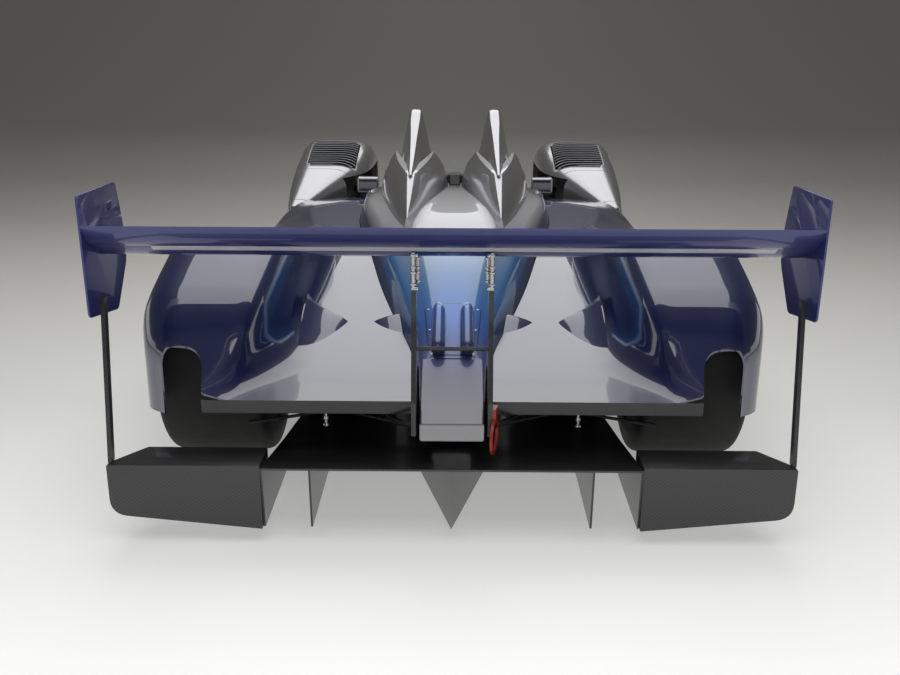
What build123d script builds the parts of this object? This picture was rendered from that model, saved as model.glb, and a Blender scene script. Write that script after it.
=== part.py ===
"""Open sports prototype race car, modelled as an assembly of separate pieces.

Axes: the origin lies on the ground under the middle of the car, +Y points to the tail,
+X to the car's own left side and +Z up. Lengths are millimetres. A station is a distance
ahead of the tail plane, measured forwards along the car.
"""

import os
from math import cos, radians, sin, tan

from build123d import *

# Overall sizes
overall_width = 2000.0
wheelbase = 2870.0
front_overhang = 1000.0
rear_overhang = 750.0
overall_length = front_overhang + wheelbase + rear_overhang
tail_y = overall_length / 2
rear_axle = rear_overhang
front_axle = rear_overhang + wheelbase
half_width = overall_width / 2

# Running gap between panels that meet, and the skin of the bodywork
seam = 0.3
skin = 8.0

# Floor
ride_height = 47.0
floor_thickness = 14.0
floor_top = ride_height + floor_thickness
floor_half_width = half_width - 60.0
floor_front = front_axle - 440.0
floor_waist = half_width - 440.0
floor_neck = half_width - 500.0
diffuser_start = 950.0

# Wheels: width, diameter and half track, rear and front
rim_diameter = 457.0
rear_tyre_diameter = 710.0
rear_tyre_width = 355.0
rear_half_track = half_width - 208.0
front_tyre_diameter = 650.0
front_tyre_width = 326.0
front_half_track = half_width - 225.0
kingpin_x = front_half_track - 40.0
wheel_bore = 24.0
bearing_gap = 0.3

# Rear deck
deck_rear = 170.0
deck_rear_height = 380.0
deck_front = 1500.0
deck_front_height = 520.0
deck_thickness = 10.0
deck_lip = 40.0
deck_half_width = half_width - 243.0
deck_beside_wheel = half_width - 420.0

# Rear wing
wing_endplate_thickness = 6.0
wing_half = half_width - wing_endplate_thickness
pylon_x = 104.0
pylon_thickness = 14.0
stay_thickness = 12.0

# Tow ring
tow_ring_bore = 42.0
tow_ring_outer = 55.0
tow_ring_thickness = 8.0
tow_ring_station = 66.0
tow_ring_height = 317.0
tow_ring_turn = 12.0
pylon_rear = 60.0

# Diffuser
diffuser_rear_height = 240.0
diffuser_wall_x = half_width - 448.0
strake_x = 410.0
box_half_width = wing_half
box_depth = 110.0
box_top = 247.0
plate = 6.0


def y_at(station):
    return tail_y - station


def rounded_face(corners):
    """Flat face whose straight sides meet in tangent arcs; corners are (x, y, radius)."""
    count = len(corners)
    joints = []
    for index, (x, y, radius) in enumerate(corners):
        here = Vector(x, y)
        before = Vector(*corners[index - 1][:2])
        after = Vector(*corners[(index + 1) % count][:2])
        back = (before - here).normalized()
        ahead = (after - here).normalized()
        if radius:
            half = radians(back.get_angle(ahead)) / 2
            reach = radius / tan(half)
            middle = here + (back + ahead).normalized() * (radius / sin(half) - radius)
            joints.append((here + back * reach, middle, here + ahead * reach))
        else:
            joints.append((here, None, here))
    edges = []
    for index, (start, middle, end) in enumerate(joints):
        if middle:
            edges.append(ThreePointArc(start, middle, end))
        following = joints[(index + 1) % count][0]
        if (following - end).length > 1e-4:
            edges.append(Line(end, following))
    return make_face(edges)


def side_slab(corners, x_from, x_to):
    """Outline of (station, height, radius) corners, extruded across the car."""
    face = rounded_face([(y_at(station), height, radius) for station, height, radius in corners])
    return extrude(Plane.YZ.offset(x_from) * face, x_to - x_from)


def plan_slab(corners, z_from, z_to):
    """Outline of (x, station, radius) corners, extruded upwards."""
    face = rounded_face([(x, y_at(station), radius) for x, station, radius in corners])
    return extrude(Plane.XY.offset(z_from) * face, z_to - z_from)


def cross_section(station, corners):
    """Upright section across the car at a station; corners are (x, height, radius)."""
    return Plane.XZ.offset(-y_at(station)) * rounded_face(corners)


def block(x_from, x_to, station_from, station_to, z_from, z_to):
    size = (x_to - x_from, station_to - station_from, z_to - z_from)
    middle = ((x_from + x_to) / 2, y_at((station_from + station_to) / 2), (z_from + z_to) / 2)
    return Pos(*middle) * Box(*size)


def mirrored(shape):
    return shape.mirror(Plane.YZ)


def across(diameter, x_from, x_to, station, height):
    """Round bar lying across the car."""
    middle = ((x_from + x_to) / 2, y_at(station), height)
    return Pos(*middle) * Rot(0, 90, 0) * Cylinder(diameter / 2, x_to - x_from)


def tube(start, end, diameter):
    """Straight round bar between two (x, station, height) points."""
    a = Vector(start[0], y_at(start[1]), start[2])
    b = Vector(end[0], y_at(end[1]), end[2])
    return extrude(Plane(origin=a, z_dir=b - a) * Circle(diameter / 2), (b - a).length)


def biggest(shape):
    return max(shape.solids(), key=lambda solid: solid.volume)


# Body sections

# station, inner foot at the deck, inner edge of the crest and outer wall (all three measured
# inwards from the side of the car), crest, inner and outer radius
rear_fender_table = [
    (1900, 480, 410, 72, 585, 60, 90),
    (1510, 500, 425, 28, 655, 80, 130),
    (1120, 495, 428, 6, 745, 80, 160),
    (760, 475, 425, 0, 775, 80, 170),
    (480, 450, 396, 6, 690, 70, 140),
    (285, 390, 320, 48, 500, 50, 70),
]
rear_fender_base = floor_top

# station, inner x and outer x (both measured inwards from the side of the car), crest,
# inner and outer radius
front_fender_table = [
    (2790, 162, 85, 500, 30, 30),
    (3100, 310, 48, 590, 70, 90),
    (3370, 448, 35, 668, 80, 120),
    (3680, 485, 30, 740, 85, 140),
    (3950, 485, 30, 722, 85, 140),
    (4250, 480, 35, 590, 80, 130),
    (4480, 450, 55, 380, 60, 100),
    (4540, 440, 60, 290, 60, 80),
]
front_fender_base = floor_top + seam

# station, half width at the top, half width at the base, rise above the deck, shoulder radius
engine_cover_table = [
    (380, 104, 118, 44, 22),
    (550, 118, 142, 100, 30),
    (850, 180, 218, 160, 45),
    (1150, 240, 284, 185, 60),
    (1600, 318, 366, 187, 75),
    (2000, 388, 442, 146, 80),
    (2400, 412, 460, 88, 70),
]
engine_cover_front = 2400.0

# station, half width at the top, half width at the base, crest, shoulder radius
tub_table = [
    (2400, 412, 460, 672, 85),
    (2800, 385, 440, 640, 85),
    (3200, 320, 375, 622, 80),
    (3600, 230, 290, 568, 75),
]

# station, half width at the top, half width at the base, crest, underside, radius
nose_table = [
    (3600, 230, 290, 568, 120, 75),
    (3950, 180, 240, 480, 110, 65),
    (4300, 135, 190, 350, 90, 55),
    (4560, 90, 140, 220, 75, 40),
]

# station, outer x measured inwards from the side of the car, top at the middle, top at the
# outer edge, radius
sidepod_table = [
    (1500, 10, 520, 505, 60),
    (2000, 55, 578, 560, 70),
    (2600, 95, 566, 545, 75),
    (2950, 120, 520, 500, 75),
    (3100, 150, 452, 440, 60),
]


def deck_height(station):
    share = (station - deck_rear) / (deck_front - deck_rear)
    return deck_rear_height + share * (deck_front_height - deck_rear_height)


def rear_fender_form(inset=0.0):
    sections = []
    for station, foot, crease, out, crest, r_in, r_out in rear_fender_table:
        deck = deck_height(station)
        flank = max(crest - deck, deck_lip / 2)
        spread = (foot - crease) * (deck - rear_fender_base) / flank
        base = half_width - foot - min(spread, foot_spread_limit)
        corners = [
            (base + inset, rear_fender_base, 0),
            (half_width - crease + inset, crest - inset, r_in - inset),
            (half_width - out - inset, crest - inset, r_out - inset),
            (half_width - out - inset, rear_fender_base, 0),
        ]
        sections.append(cross_section(station, corners))
    return loft(sections)


def front_fender_form(inset=0.0):
    sections = []
    for station, inner, out, crest, r_in, r_out in front_fender_table:
        corners = [
            (half_width - inner + inset, front_fender_base, 0),
            (half_width - inner + inset, crest - inset, r_in - inset),
            (half_width - out - inset, crest - inset, r_out - inset),
            (half_width - out - inset, front_fender_base, 0),
        ]
        sections.append(cross_section(station, corners))
    return loft(sections)


def shouldered_form(table, foot, crest_datum=None, inset=0.0):
    """Loft of sections that are the same on both sides of the car; heights of the crest are
    above the ground, or above crest_datum where it is given."""
    sections = []
    for station, half_top, half_base, crest, radius in table:
        low = foot(station) if callable(foot) else foot
        high = crest + (crest_datum(station) if crest_datum else 0)
        corners = [
            (-half_base + inset, low, 0),
            (-half_top + inset, high - inset, radius - inset / 2),
            (half_top - inset, high - inset, radius - inset / 2),
            (half_base - inset, low, 0),
        ]
        sections.append(cross_section(station, corners))
    return loft(sections)


def cover_form(drop=0.0, inset=0.0):
    """Solid inside the engine cover's outer face, its foot lowered by drop."""
    return shouldered_form(
        engine_cover_table, lambda station: cover_base(station) - drop, deck_height, inset
    )


# Rear fenders

arch_gap = 32.0
foot_spread_limit = 60.0
rear_arch_radius = rear_tyre_diameter / 2 + arch_gap
rear_axle_height = rear_tyre_diameter / 2
skirt_bottom = 275.0
skirt_rear = 345.0
notch_inner = deck_half_width
notch_outer = half_width - 60.0
notch_top = 498.0
notch_depth = 420.0
arch_inner = half_width - 100.0
wheelhouse_front = rear_axle + rear_arch_radius + 60.0


def rear_fender_left():
    form = rear_fender_form()
    hollow = rear_fender_form(skin)
    wheelhouse = hollow & block(
        0, half_width + skin, skirt_rear, wheelhouse_front, 0, overall_width
    )
    arch = across(2 * rear_arch_radius, arch_inner, half_width + skin, rear_axle, rear_axle_height)
    behind = side_slab(
        [
            (rear_axle, -floor_top, 0),
            (rear_axle, rear_axle_height, 0),
            (skirt_rear, skirt_bottom, 0),
            (skirt_rear, -floor_top, 0),
        ],
        arch_inner,
        half_width + skin,
    )
    notch = Plane.XZ.offset(-y_at(0)) * rounded_face(
        [
            (notch_inner, 0, 0),
            (notch_inner, notch_top, 45),
            (notch_outer, notch_top, 50),
            (notch_outer, 0, 0),
        ]
    )
    notch = extrude(notch, notch_depth)
    below_tail = block(
        notch_outer - skin, half_width + skin, 0, skirt_rear, 0, skirt_bottom + deck_lip
    )
    under_deck = side_slab(
        [
            (0, 0, 0),
            (0, deck_height(0) + seam, 0),
            (wheelhouse_front, deck_height(wheelhouse_front) + seam, 0),
            (wheelhouse_front, 0, 0),
        ],
        0,
        notch_inner,
    )
    body = form - wheelhouse - arch - behind - notch - below_tail - under_deck
    return biggest(body)


# Rear deck

blister_top = 74.0
blister_root = 560.0


def deck_blister(x_root, x_tip, station, radius):
    """Teardrop that lies across the deck with its point towards x_tip."""
    height = deck_height(station) - 6
    profile = make_face(
        [
            ThreePointArc(
                (x_tip, 0), ((x_tip + x_root) / 2, radius * 0.72), (x_root, radius)
            ),
            Line((x_root, radius), (x_root, 0)),
            Line((x_root, 0), (x_tip, 0)),
        ]
    )
    solid = revolve(profile, Axis.X)
    return Pos(0, y_at(station), height) * scale(solid, (1, 2.1, 1))


def rear_deck_left(cover, fender):
    top = [
        (deck_rear, deck_rear_height - deck_lip, 0),
        (deck_rear, deck_rear_height, 4),
        (deck_front, deck_front_height, 0),
        (deck_front, deck_front_height - deck_thickness, 0),
        (deck_rear + 12, deck_rear_height - deck_thickness, 0),
        (deck_rear + 12, deck_rear_height - deck_lip, 0),
    ]
    inner = pylon_x + pylon_thickness + seam
    panel = side_slab(top, inner, deck_half_width)
    panel -= block(deck_beside_wheel, 1000, 385, deck_front + 1, 0, 1000)
    panel += deck_blister(blister_root, 335, 620, blister_top) & block(
        300, blister_root, 0, 1500, deck_height(620) - 12, 900
    )
    panel += deck_blister(150, 282, 620, 46) & block(0, 300, 0, 1500, deck_height(620) - 12, 900)
    panel -= cover
    panel -= cover_form(drop=60)
    panel -= fender
    return biggest(panel)


# Engine cover and tail

tail_box_table = [
    # station, half width, underside, top, radius
    (40, 92.5, 312, 366, 6),
    (210, 101, 312, 398, 12),
    (380 - seam, 108, 318, 446, 22),
]


def cover_base(station):
    return deck_height(station) - deck_thickness


def engine_cover():
    return biggest(cover_form() - cover_form(drop=20, inset=skin))


def tail_box(pylons):
    sections = []
    for station, half, low, high, radius in tail_box_table:
        corners = [(-half, low, 6), (-half, high, radius), (half, high, radius), (half, low, 6)]
        sections.append(cross_section(station, corners))
    return biggest(loft(sections) - pylons)


def tail_blisters(cover):
    solids = []
    width = 48.0
    for x in (-50.0, 50.0):
        low = 440.0
        outline = [(x - width / 2, 385, 12), (x - width / 2, 660, 23), (x + width / 2, 660, 23), (x + width / 2, 385, 12)]
        column = plan_slab(outline, low, 700)
        hill = side_slab([(380, 400, 0), (380, 484, 10), (420, 512, 20), (600, 572, 90), (680, 560, 0), (680, 400, 0)], x - width, x + width)
        solids.append(biggest((column & hill) - cover))
    return solids


# Roll hoop fairings

# station, inner and outer x at the base, crest, half width of the crest
hoop_table = [
    (1390, 172, 196, 706, 5),
    (1746, 112, 266, 830, 10),
    (2076, 50, 338, 942, 18),
    (2379, 46, 345, 1057, 27),
]
hoop_x = 198.0
hoop_foot = 560.0


def roll_hoop_fairings(cover):
    sections = []
    for station, inner, outer, crest, half in hoop_table:
        corners = [
            (inner, hoop_foot, 0),
            (hoop_x - half, crest, half * 0.8),
            (hoop_x + half, crest, half * 0.8),
            (outer, hoop_foot, 0),
        ]
        sections.append(cross_section(station, corners))
    fairing = biggest(loft(sections) - cover)
    return [fairing, mirrored(fairing)]


# Monocoque tub and nose

cockpit_rear = 2440.0
cockpit_front = 3080.0
cockpit_half_width = 292.0
cockpit_floor = 120.0
footwell_front = 3520.0


def tub_form():
    return shouldered_form(tub_table, floor_top)


def monocoque_tub():
    rear_part = block(-300, 300, 1850, 2400, floor_top, 600)
    body = tub_form() + rear_part
    opening = plan_slab(
        [
            (-cockpit_half_width, cockpit_rear, 60),
            (-cockpit_half_width + 30, cockpit_front, 170),
            (cockpit_half_width - 30, cockpit_front, 170),
            (cockpit_half_width, cockpit_rear, 60),
        ],
        cockpit_floor,
        900,
    )
    footwell = block(-215, 215, cockpit_front - 300, footwell_front, cockpit_floor, 450)
    return biggest(body - opening - footwell)


def nose_form():
    sections = []
    for station, top, base, crest, low, radius in nose_table:
        corners = [(-base, low, 25), (-top, crest, radius), (top, crest, radius), (base, low, 25)]
        sections.append(cross_section(station + (seam if station == 3600 else 0), corners))
    return loft(sections)


# Sidepods


def sidepod_left(cutters):
    sections = []
    for station, inwards, mid, edge, radius in sidepod_table:
        out = half_width - inwards
        corners = [(250, floor_top, 0), (250, mid, 0), (out, edge, radius), (out, floor_top, 0)]
        sections.append(cross_section(station + seam, corners))
    pod = loft(sections)
    for cutter in cutters:
        pod = pod - cutter
    return biggest(pod)


# Front fenders

front_axle_height = front_tyre_diameter / 2
front_arch_half = 398.0
front_arch_top = 640.0
front_wheelhouse_reach = 415.0
front_house_open = 590.0
front_arch_inner = half_width - 180.0
front_house_inner = half_width - 600.0


def front_fender_left(form, hollow, louvre_opening, lamp):
    rear_end = front_axle - front_wheelhouse_reach
    front_end = front_axle + front_wheelhouse_reach
    outside = half_width + skin
    wheelhouse = hollow & block(front_house_inner, outside, rear_end, front_end, 0, 1000)
    through = block(front_house_inner, outside, rear_end, front_end, 0, front_house_open)
    arch = side_slab(
        [
            (front_axle - front_arch_half, -10, 0),
            (front_axle - front_arch_half, front_arch_top, 300),
            (front_axle + front_arch_half, front_arch_top, 300),
            (front_axle + front_arch_half, -10, 0),
        ],
        front_arch_inner,
        outside,
    )
    through &= block(front_house_inner, front_arch_inner, rear_end, front_end, 0, front_house_open)
    tail_cut = side_slab(
        [(2700, -10, 0), (2700, 440, 0), (3100, 330, 0), (3215, 250, 0), (3215, -10, 0)],
        front_house_inner,
        outside,
    )
    body = form - wheelhouse - through - arch - tail_cut - louvre_opening - lamp
    return biggest(body)


louvre_inner = half_width - 375.0
louvre_outer = half_width - 120.0
louvre_rear = 3315.0
louvre_front = 3700.0
louvre_rear_height = 652.0
louvre_front_height = 741.0
louvre_crown_edge = half_width - 32.0
louvre_crown_radius = 150.0
louvre_depth = 9.0
louvre_count = 12
louvre_frame = 14.0
louvre_slot = 17.0
louvre_lean = 35.0


def louvre_window():
    return plan_slab(
        [
            (louvre_inner, louvre_rear, 40),
            (louvre_inner, louvre_front, 60),
            (louvre_outer, louvre_front, 60),
            (louvre_outer, louvre_rear, 40),
        ],
        500,
        900,
    )


def louvre_panel_left():
    """Crowned panel that slopes with the fender, cut by a row of leaning slots."""
    run = louvre_front - louvre_rear
    rise = louvre_front_height - louvre_rear_height
    arch = [
        (louvre_inner - 100, louvre_rear_height - louvre_depth, 0),
        (louvre_inner - 100, louvre_rear_height, 0),
        (louvre_crown_edge, louvre_rear_height, louvre_crown_radius),
        (louvre_crown_edge, louvre_rear_height - 200, 0),
        (louvre_crown_edge - louvre_depth, louvre_rear_height - 200, 0),
        (louvre_crown_edge - louvre_depth, louvre_rear_height - louvre_depth, louvre_crown_radius),
    ]
    panel = extrude(cross_section(louvre_rear - 1, arch), run + 2, dir=Vector(0, -run, rise).normalized())
    panel = biggest(panel & louvre_window())
    pitch = (run - 2 * louvre_frame) / louvre_count
    for index in range(louvre_count):
        station = louvre_rear + louvre_frame + (index + 0.5) * pitch
        height = louvre_rear_height + rise * (station - louvre_rear) / run
        slot = Box(louvre_outer - louvre_inner - 2 * louvre_frame, louvre_slot, 160)
        middle = ((louvre_outer + louvre_inner) / 2, y_at(station), height - 20)
        panel = panel - Pos(*middle) * Rot(louvre_lean, 0, 0) * slot
    return biggest(panel)


def headlamp_left(form):
    outline = [
        (half_width - 360, 4290, 40),
        (half_width - 360, 4440, 40),
        (half_width - 160, 4440, 40),
        (half_width - 140, 4290, 40),
    ]
    return biggest(form & plan_slab(outline, 400, 900))


# Floor, splitter and diffuser


def floor_pan():
    corners = [
        (-floor_waist, diffuser_start, 0),
        (-floor_waist, rear_axle + rear_arch_radius + 10, 0),
        (-floor_half_width, rear_axle + rear_arch_radius + 10, 20),
        (-floor_half_width, floor_front, 30),
        (-floor_neck, floor_front, 0),
        (-floor_neck, front_axle + 420, 0),
        (floor_neck, front_axle + 420, 0),
        (floor_neck, floor_front, 0),
        (floor_half_width, floor_front, 30),
        (floor_half_width, rear_axle + rear_arch_radius + 10, 20),
        (floor_waist, rear_axle + rear_arch_radius + 10, 0),
        (floor_waist, diffuser_start, 0),
    ]
    return plan_slab(corners, ride_height, floor_top)


splitter_half = half_width - 35.0


def front_splitter():
    rear_edge = front_axle + 420
    corners = [
        (-splitter_half, rear_edge, 0),
        (-splitter_half, overall_length - 130, 120),
        (-300, overall_length, 300),
        (300, overall_length, 300),
        (splitter_half, overall_length - 130, 120),
        (splitter_half, rear_edge, 0),
    ]
    return plan_slab(corners, ride_height, floor_top)


def rear_diffuser():
    lower = [(0, diffuser_rear_height - plate, 0), (420, 150, 600), (diffuser_start, floor_top - plate, 0)]
    upper = [(diffuser_start, floor_top, 0), (420, 150 + plate, 600), (0, diffuser_rear_height, 0)]
    roof = side_slab(lower + upper, -diffuser_wall_x, diffuser_wall_x)
    blade = [(15, ride_height, 0), (0, diffuser_rear_height - plate / 2, 0), (420, 150 + plate / 2, 600),
             (diffuser_start - 40, floor_top - plate / 2, 0), (diffuser_start - 40, ride_height + 8, 0)]
    body = roof
    for x in (-diffuser_wall_x, -strake_x - plate / 2, strake_x - plate / 2, diffuser_wall_x - plate):
        body = body + side_slab(blade, x, x + plate)
    keel_room = side_slab(
        [(0, ride_height, 0), (0, diffuser_rear_height - plate / 2, 0), (420, 150 + plate / 2, 600),
         (600, 120, 0), (600, ride_height, 0)],
        -120,
        120,
    )
    keel = plan_slab([(0, 4, 0), (-102, 392, 0), (-60, 590, 0), (60, 590, 0), (102, 392, 0)], ride_height, 300)
    keel = keel & keel_room
    return biggest(body + keel)


def diffuser_end_box():
    rear_face = [
        (diffuser_wall_x + seam, 48, 0),
        (box_half_width - 60, 98, 30),
        (box_half_width, 160, 40),
        (box_half_width, box_top, 10),
        (diffuser_wall_x + seam, box_top, 0),
    ]
    solid = extrude(Plane.XZ.offset(-y_at(0)) * rounded_face(rear_face), box_depth)
    plan = plan_slab(
        [(diffuser_wall_x, -1, 0), (diffuser_wall_x, box_depth + 1, 0), (box_half_width, box_depth + 1, 70),
         (box_half_width, -1, 0)],
        0,
        400,
    )
    return biggest(solid & plan)


# Rear wing


def wing_element(points, x_half):
    """Wing profile from its front, upper, rear and lower points, each (station, height)."""
    nose, upper, rear, lower = [(y_at(station), height) for station, height in points]
    face = make_face(
        [
            ThreePointArc(nose, upper, rear),
            Line(rear, (rear[0] + 0.5, rear[1] - 3)),
            ThreePointArc((rear[0] + 0.5, rear[1] - 3), lower, nose),
        ]
    )
    return extrude(Plane.YZ.offset(-x_half) * face, 2 * x_half)


def wing_main_plane():
    return wing_element([(305, 872), (200, 862), (98, 872), (205, 824)], wing_half)


def wing_flap():
    return wing_element([(118, 882), (55, 899), (0.5, 944), (62, 880)], wing_half)


def wing_endplates():
    outline = [
        (0, 1025, 12),
        (311, 1015, 25),
        (348, 874, 60),
        (350, 775, 60),
        (238, 646, 30),
        (5, 685, 20),
    ]
    plate_left = side_slab(outline, wing_half, half_width)
    return [plate_left, mirrored(plate_left)]


def wing_stays():
    outline = [(18, box_top, 0), (92, 720, 0), (118, 720, 0), (44, box_top, 0)]
    stay = side_slab(outline, wing_half - stay_thickness, wing_half)
    return [stay, mirrored(stay)]


def wing_pylons(wing):
    outline = [
        (pylon_rear, 318, 0),
        (pylon_rear, 420, 30),
        (120, 640, 300),
        (128, 845, 0),
        (205, 826, 0),
        (185, 640, 300),
        (150, 430, 60),
        (230, 330, 20),
        (230, 318, 0),
    ]
    pylon = biggest(side_slab(outline, pylon_x, pylon_x + pylon_thickness) - wing)
    return [pylon, mirrored(pylon)]


def pylon_crossbar():
    return across(12, -pylon_x, pylon_x, 140, 560)


# Wheels, hubs and suspension


def tyre(width, diameter, x_middle, station):
    """Slick tyre: flat crown, rounded shoulders and bulged walls down to the bead."""
    half = width / 2
    outer = diameter / 2
    bead = rim_diameter / 2
    outline = [
        (-half + 14, bead, 0),
        (-half, bead + (outer - bead) * 0.45, 60),
        (-half + 6, outer, 34),
        (half - 6, outer, 34),
        (half, bead + (outer - bead) * 0.45, 60),
        (half - 14, bead, 0),
        (half - 26, bead, 0),
        (half - 30, outer - 22, 20),
        (-half + 30, outer - 22, 20),
        (-half + 26, bead, 0),
    ]
    solid = revolve(rounded_face(outline), Axis.X)
    return Pos(x_middle, y_at(station), diameter / 2) * solid


spoke_count = 10


def rim(width, diameter, x_middle, station):
    """Wheel for the car's left side: barrel, disc of spokes near the outer face and hub."""
    half = width / 2 - 14
    bead = rim_diameter / 2 - seam
    barrel = revolve(
        rounded_face(
            [
                (-half, bead, 0), (half, bead, 0), (half, bead - 14, 0), (half - 34, bead - 24, 0),
                (-half + 20, bead - 24, 0), (-half, bead - 12, 0),
            ]
        ),
        Axis.X,
    )
    face_x = half - 60
    hub = across(110, face_x - 20, face_x + 30, 0, 0)
    hub = Pos(0, -tail_y, 0) * hub
    body = barrel + hub
    for index in range(spoke_count):
        spoke = Pos(face_x + 6, 0, (bead - 20) / 2 + 18) * Box(22, 20, bead - 20 - 30)
        body = body + Rot(360 / spoke_count * index, 0, 0) * spoke
    bore = Pos(0, -tail_y, 0) * across(2 * wheel_bore, face_x - 21, face_x + 12, 0, 0)
    body = body - bore
    return Pos(x_middle, y_at(station), diameter / 2) * biggest(body)


arm_tube = 22.0
upright_height = 250.0
ball_height_low = 200.0
ball_height_high = 470.0
ball_pin = 16.0


def spindle_reach(width, x_middle):
    return x_middle + width / 2 - 14 - 60 + 8


def front_upright_left():
    """Knuckle: an upright block between two pins on the steering axis, with the stub axle."""
    post = block(kingpin_x - 26, kingpin_x + 26, front_axle - 40, front_axle + 40, ball_height_low + 24, ball_height_high - 24)
    pin_low = Pos(kingpin_x, y_at(front_axle), ball_height_low + 6) * Cylinder(ball_pin / 2, 44)
    pin_high = Pos(kingpin_x, y_at(front_axle), ball_height_high - 6) * Cylinder(ball_pin / 2, 44)
    axle = across(2 * (wheel_bore - bearing_gap), kingpin_x, spindle_reach(front_tyre_width, front_half_track), front_axle, front_axle_height)
    return biggest(post + pin_low + pin_high + axle)


def front_wishbones_left(bulkheads):
    arms = []
    for ball, inner_height, inner_x in ((ball_height_low, 180, 232), (ball_height_high, 430, 196)):
        eye = Pos(kingpin_x, y_at(front_axle), ball) * (
            Cylinder(22, 26) - Cylinder(ball_pin / 2 + seam, 30)
        )
        arm = eye
        for offset in (-170, 170):
            start = (inner_x, front_axle + offset, inner_height)
            leg = tube(start, (kingpin_x - 12, front_axle, ball), arm_tube)
            arm = arm + biggest(leg - bulkheads)
        arm = arm - Pos(kingpin_x, y_at(front_axle), ball) * Cylinder(ball_pin / 2 + seam, 60)
        arms.append(arm)
    return arms


def rear_upright_left():
    x = rear_half_track - 70
    post = block(x - 30, x + 30, rear_axle - 50, rear_axle + 50, 215, 415)
    axle = across(2 * (wheel_bore - bearing_gap), x, spindle_reach(rear_tyre_width, rear_half_track), rear_axle, rear_axle_height)
    return biggest(post + axle)


def rear_wishbones_left(gearbox, upright):
    arms = []
    for outer_height, inner_height in ((235, 200), (388, 340)):
        for inner_offset, outer_offset in ((-170, -30), (170, 30)):
            start = (60, rear_axle + inner_offset, inner_height)
            leg = tube(start, (rear_half_track - 90, rear_axle + outer_offset, outer_height), arm_tube)
            arms.append(biggest(leg - gearbox - upright))
    return arms


# Engine and gearbox


def engine_block():
    return block(-230, 230, 1250, 1850 - seam, floor_top, 580)


def gearbox_case():
    sections = [
        cross_section(330, [(-60, 205, 10), (-60, 308, 10), (60, 308, 10), (60, 205, 10)]),
        cross_section(700, [(-105, 140, 10), (-105, 372, 30), (105, 372, 30), (105, 140, 10)]),
        cross_section(1250 - seam, [(-190, 75, 10), (-190, 440, 40), (190, 440, 40), (190, 75, 10)]),
    ]
    return loft(sections)


# Cockpit fittings

steering_x = 122.0
steering_station = 2950.0
steering_height = 480.0
steering_boss = 18.0


def steering_wheel():
    grip = Pos(0, 0, 0) * (RectangleRounded(240, 160, 60) - RectangleRounded(188, 108, 34))
    spokes = Rectangle(190, 40)
    face = extrude(grip, 24) + extrude(spokes, steering_boss)
    turned = Rot(90, 0, 0) * face
    return Pos(steering_x, y_at(steering_station), steering_height) * biggest(turned)


def steering_column(tub):
    column = tube(
        (steering_x, steering_station + steering_boss + seam, steering_height),
        (steering_x, steering_station + 160, steering_height),
        34,
    )
    return biggest(column - tub)


def driver_seat():
    outer = side_slab(
        [(2480, cockpit_floor, 0), (2480, 560, 30), (2530, 560, 20), (2650, 260, 120), (2880, 240, 60),
         (2910, 160, 20), (2910, cockpit_floor, 0)],
        2,
        242,
    )
    room = side_slab(
        [(2515, 700, 0), (2515, 560, 0), (2600, 270, 130), (2800, 190, 100), (2990, 190, 0), (2990, 700, 0)],
        27,
        217,
    )
    return biggest(outer - room)


def windscreen(tub):
    band = (
        plan_slab([(-345, 2880, 0), (-300, 3175, 190), (300, 3175, 190), (345, 2880, 0)], 560, 698)
        - plan_slab([(-341, 2870, 0), (-296, 3171, 186), (296, 3171, 186), (341, 2870, 0)], 500, 700)
    )
    return biggest(band - tub)


def mirrors(pods):
    shell = Pos(478, y_at(2900), 606) * Box(116, 84, 84)
    shell = fillet(shell.edges().filter_by(Axis.Z), 24)
    stalk = tube((470, 2900, 450), (470, 2900, 580), 16)
    left = shell + stalk
    for pod in pods:
        left = left - pod
    left = biggest(left)
    return [left, mirrored(left)]


def tow_ring():
    """Flat ring beside the right pylon, held by a wedge on the pylon's outer face; it is turned
    a little so that a strap or hook goes in from behind, past the wing stay."""
    face_x = -pylon_x - pylon_thickness
    lean = tan(radians(tow_ring_turn))
    across_plate = tow_ring_thickness / cos(radians(tow_ring_turn))
    behind_edge = tow_ring_station - pylon_rear
    middle_x = face_x - behind_edge * lean - across_plate / 2 - seam
    middle = Pos(middle_x, y_at(tow_ring_station), tow_ring_height)
    turned = middle * Rot(0, 0, -tow_ring_turn) * Rot(0, 90, 0)
    ring = turned * Cylinder(tow_ring_outer, tow_ring_thickness)
    wedge_front = pylon_rear + 40
    wedge_low = tow_ring_height + tow_ring_bore + 3
    wedge = plan_slab(
        [
            (face_x, pylon_rear, 0),
            (face_x, wedge_front, 0),
            (face_x - seam - (wedge_front - pylon_rear) * lean - across_plate, wedge_front, 0),
            (face_x - seam - across_plate, pylon_rear, 0),
        ],
        wedge_low,
        wedge_low + deck_lip,
    )
    return biggest(ring + wedge - turned * Cylinder(tow_ring_bore, 2 * tow_ring_thickness))


def save(name, shape):
    if isinstance(shape, (list, tuple)):
        shape = Compound(children=list(shape))
    export_step(shape, os.path.join("parts", name + ".step"))


def both_sides(name, left):
    save(name + "_left", left)
    save(name + "_right", mirrored(left))


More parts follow.
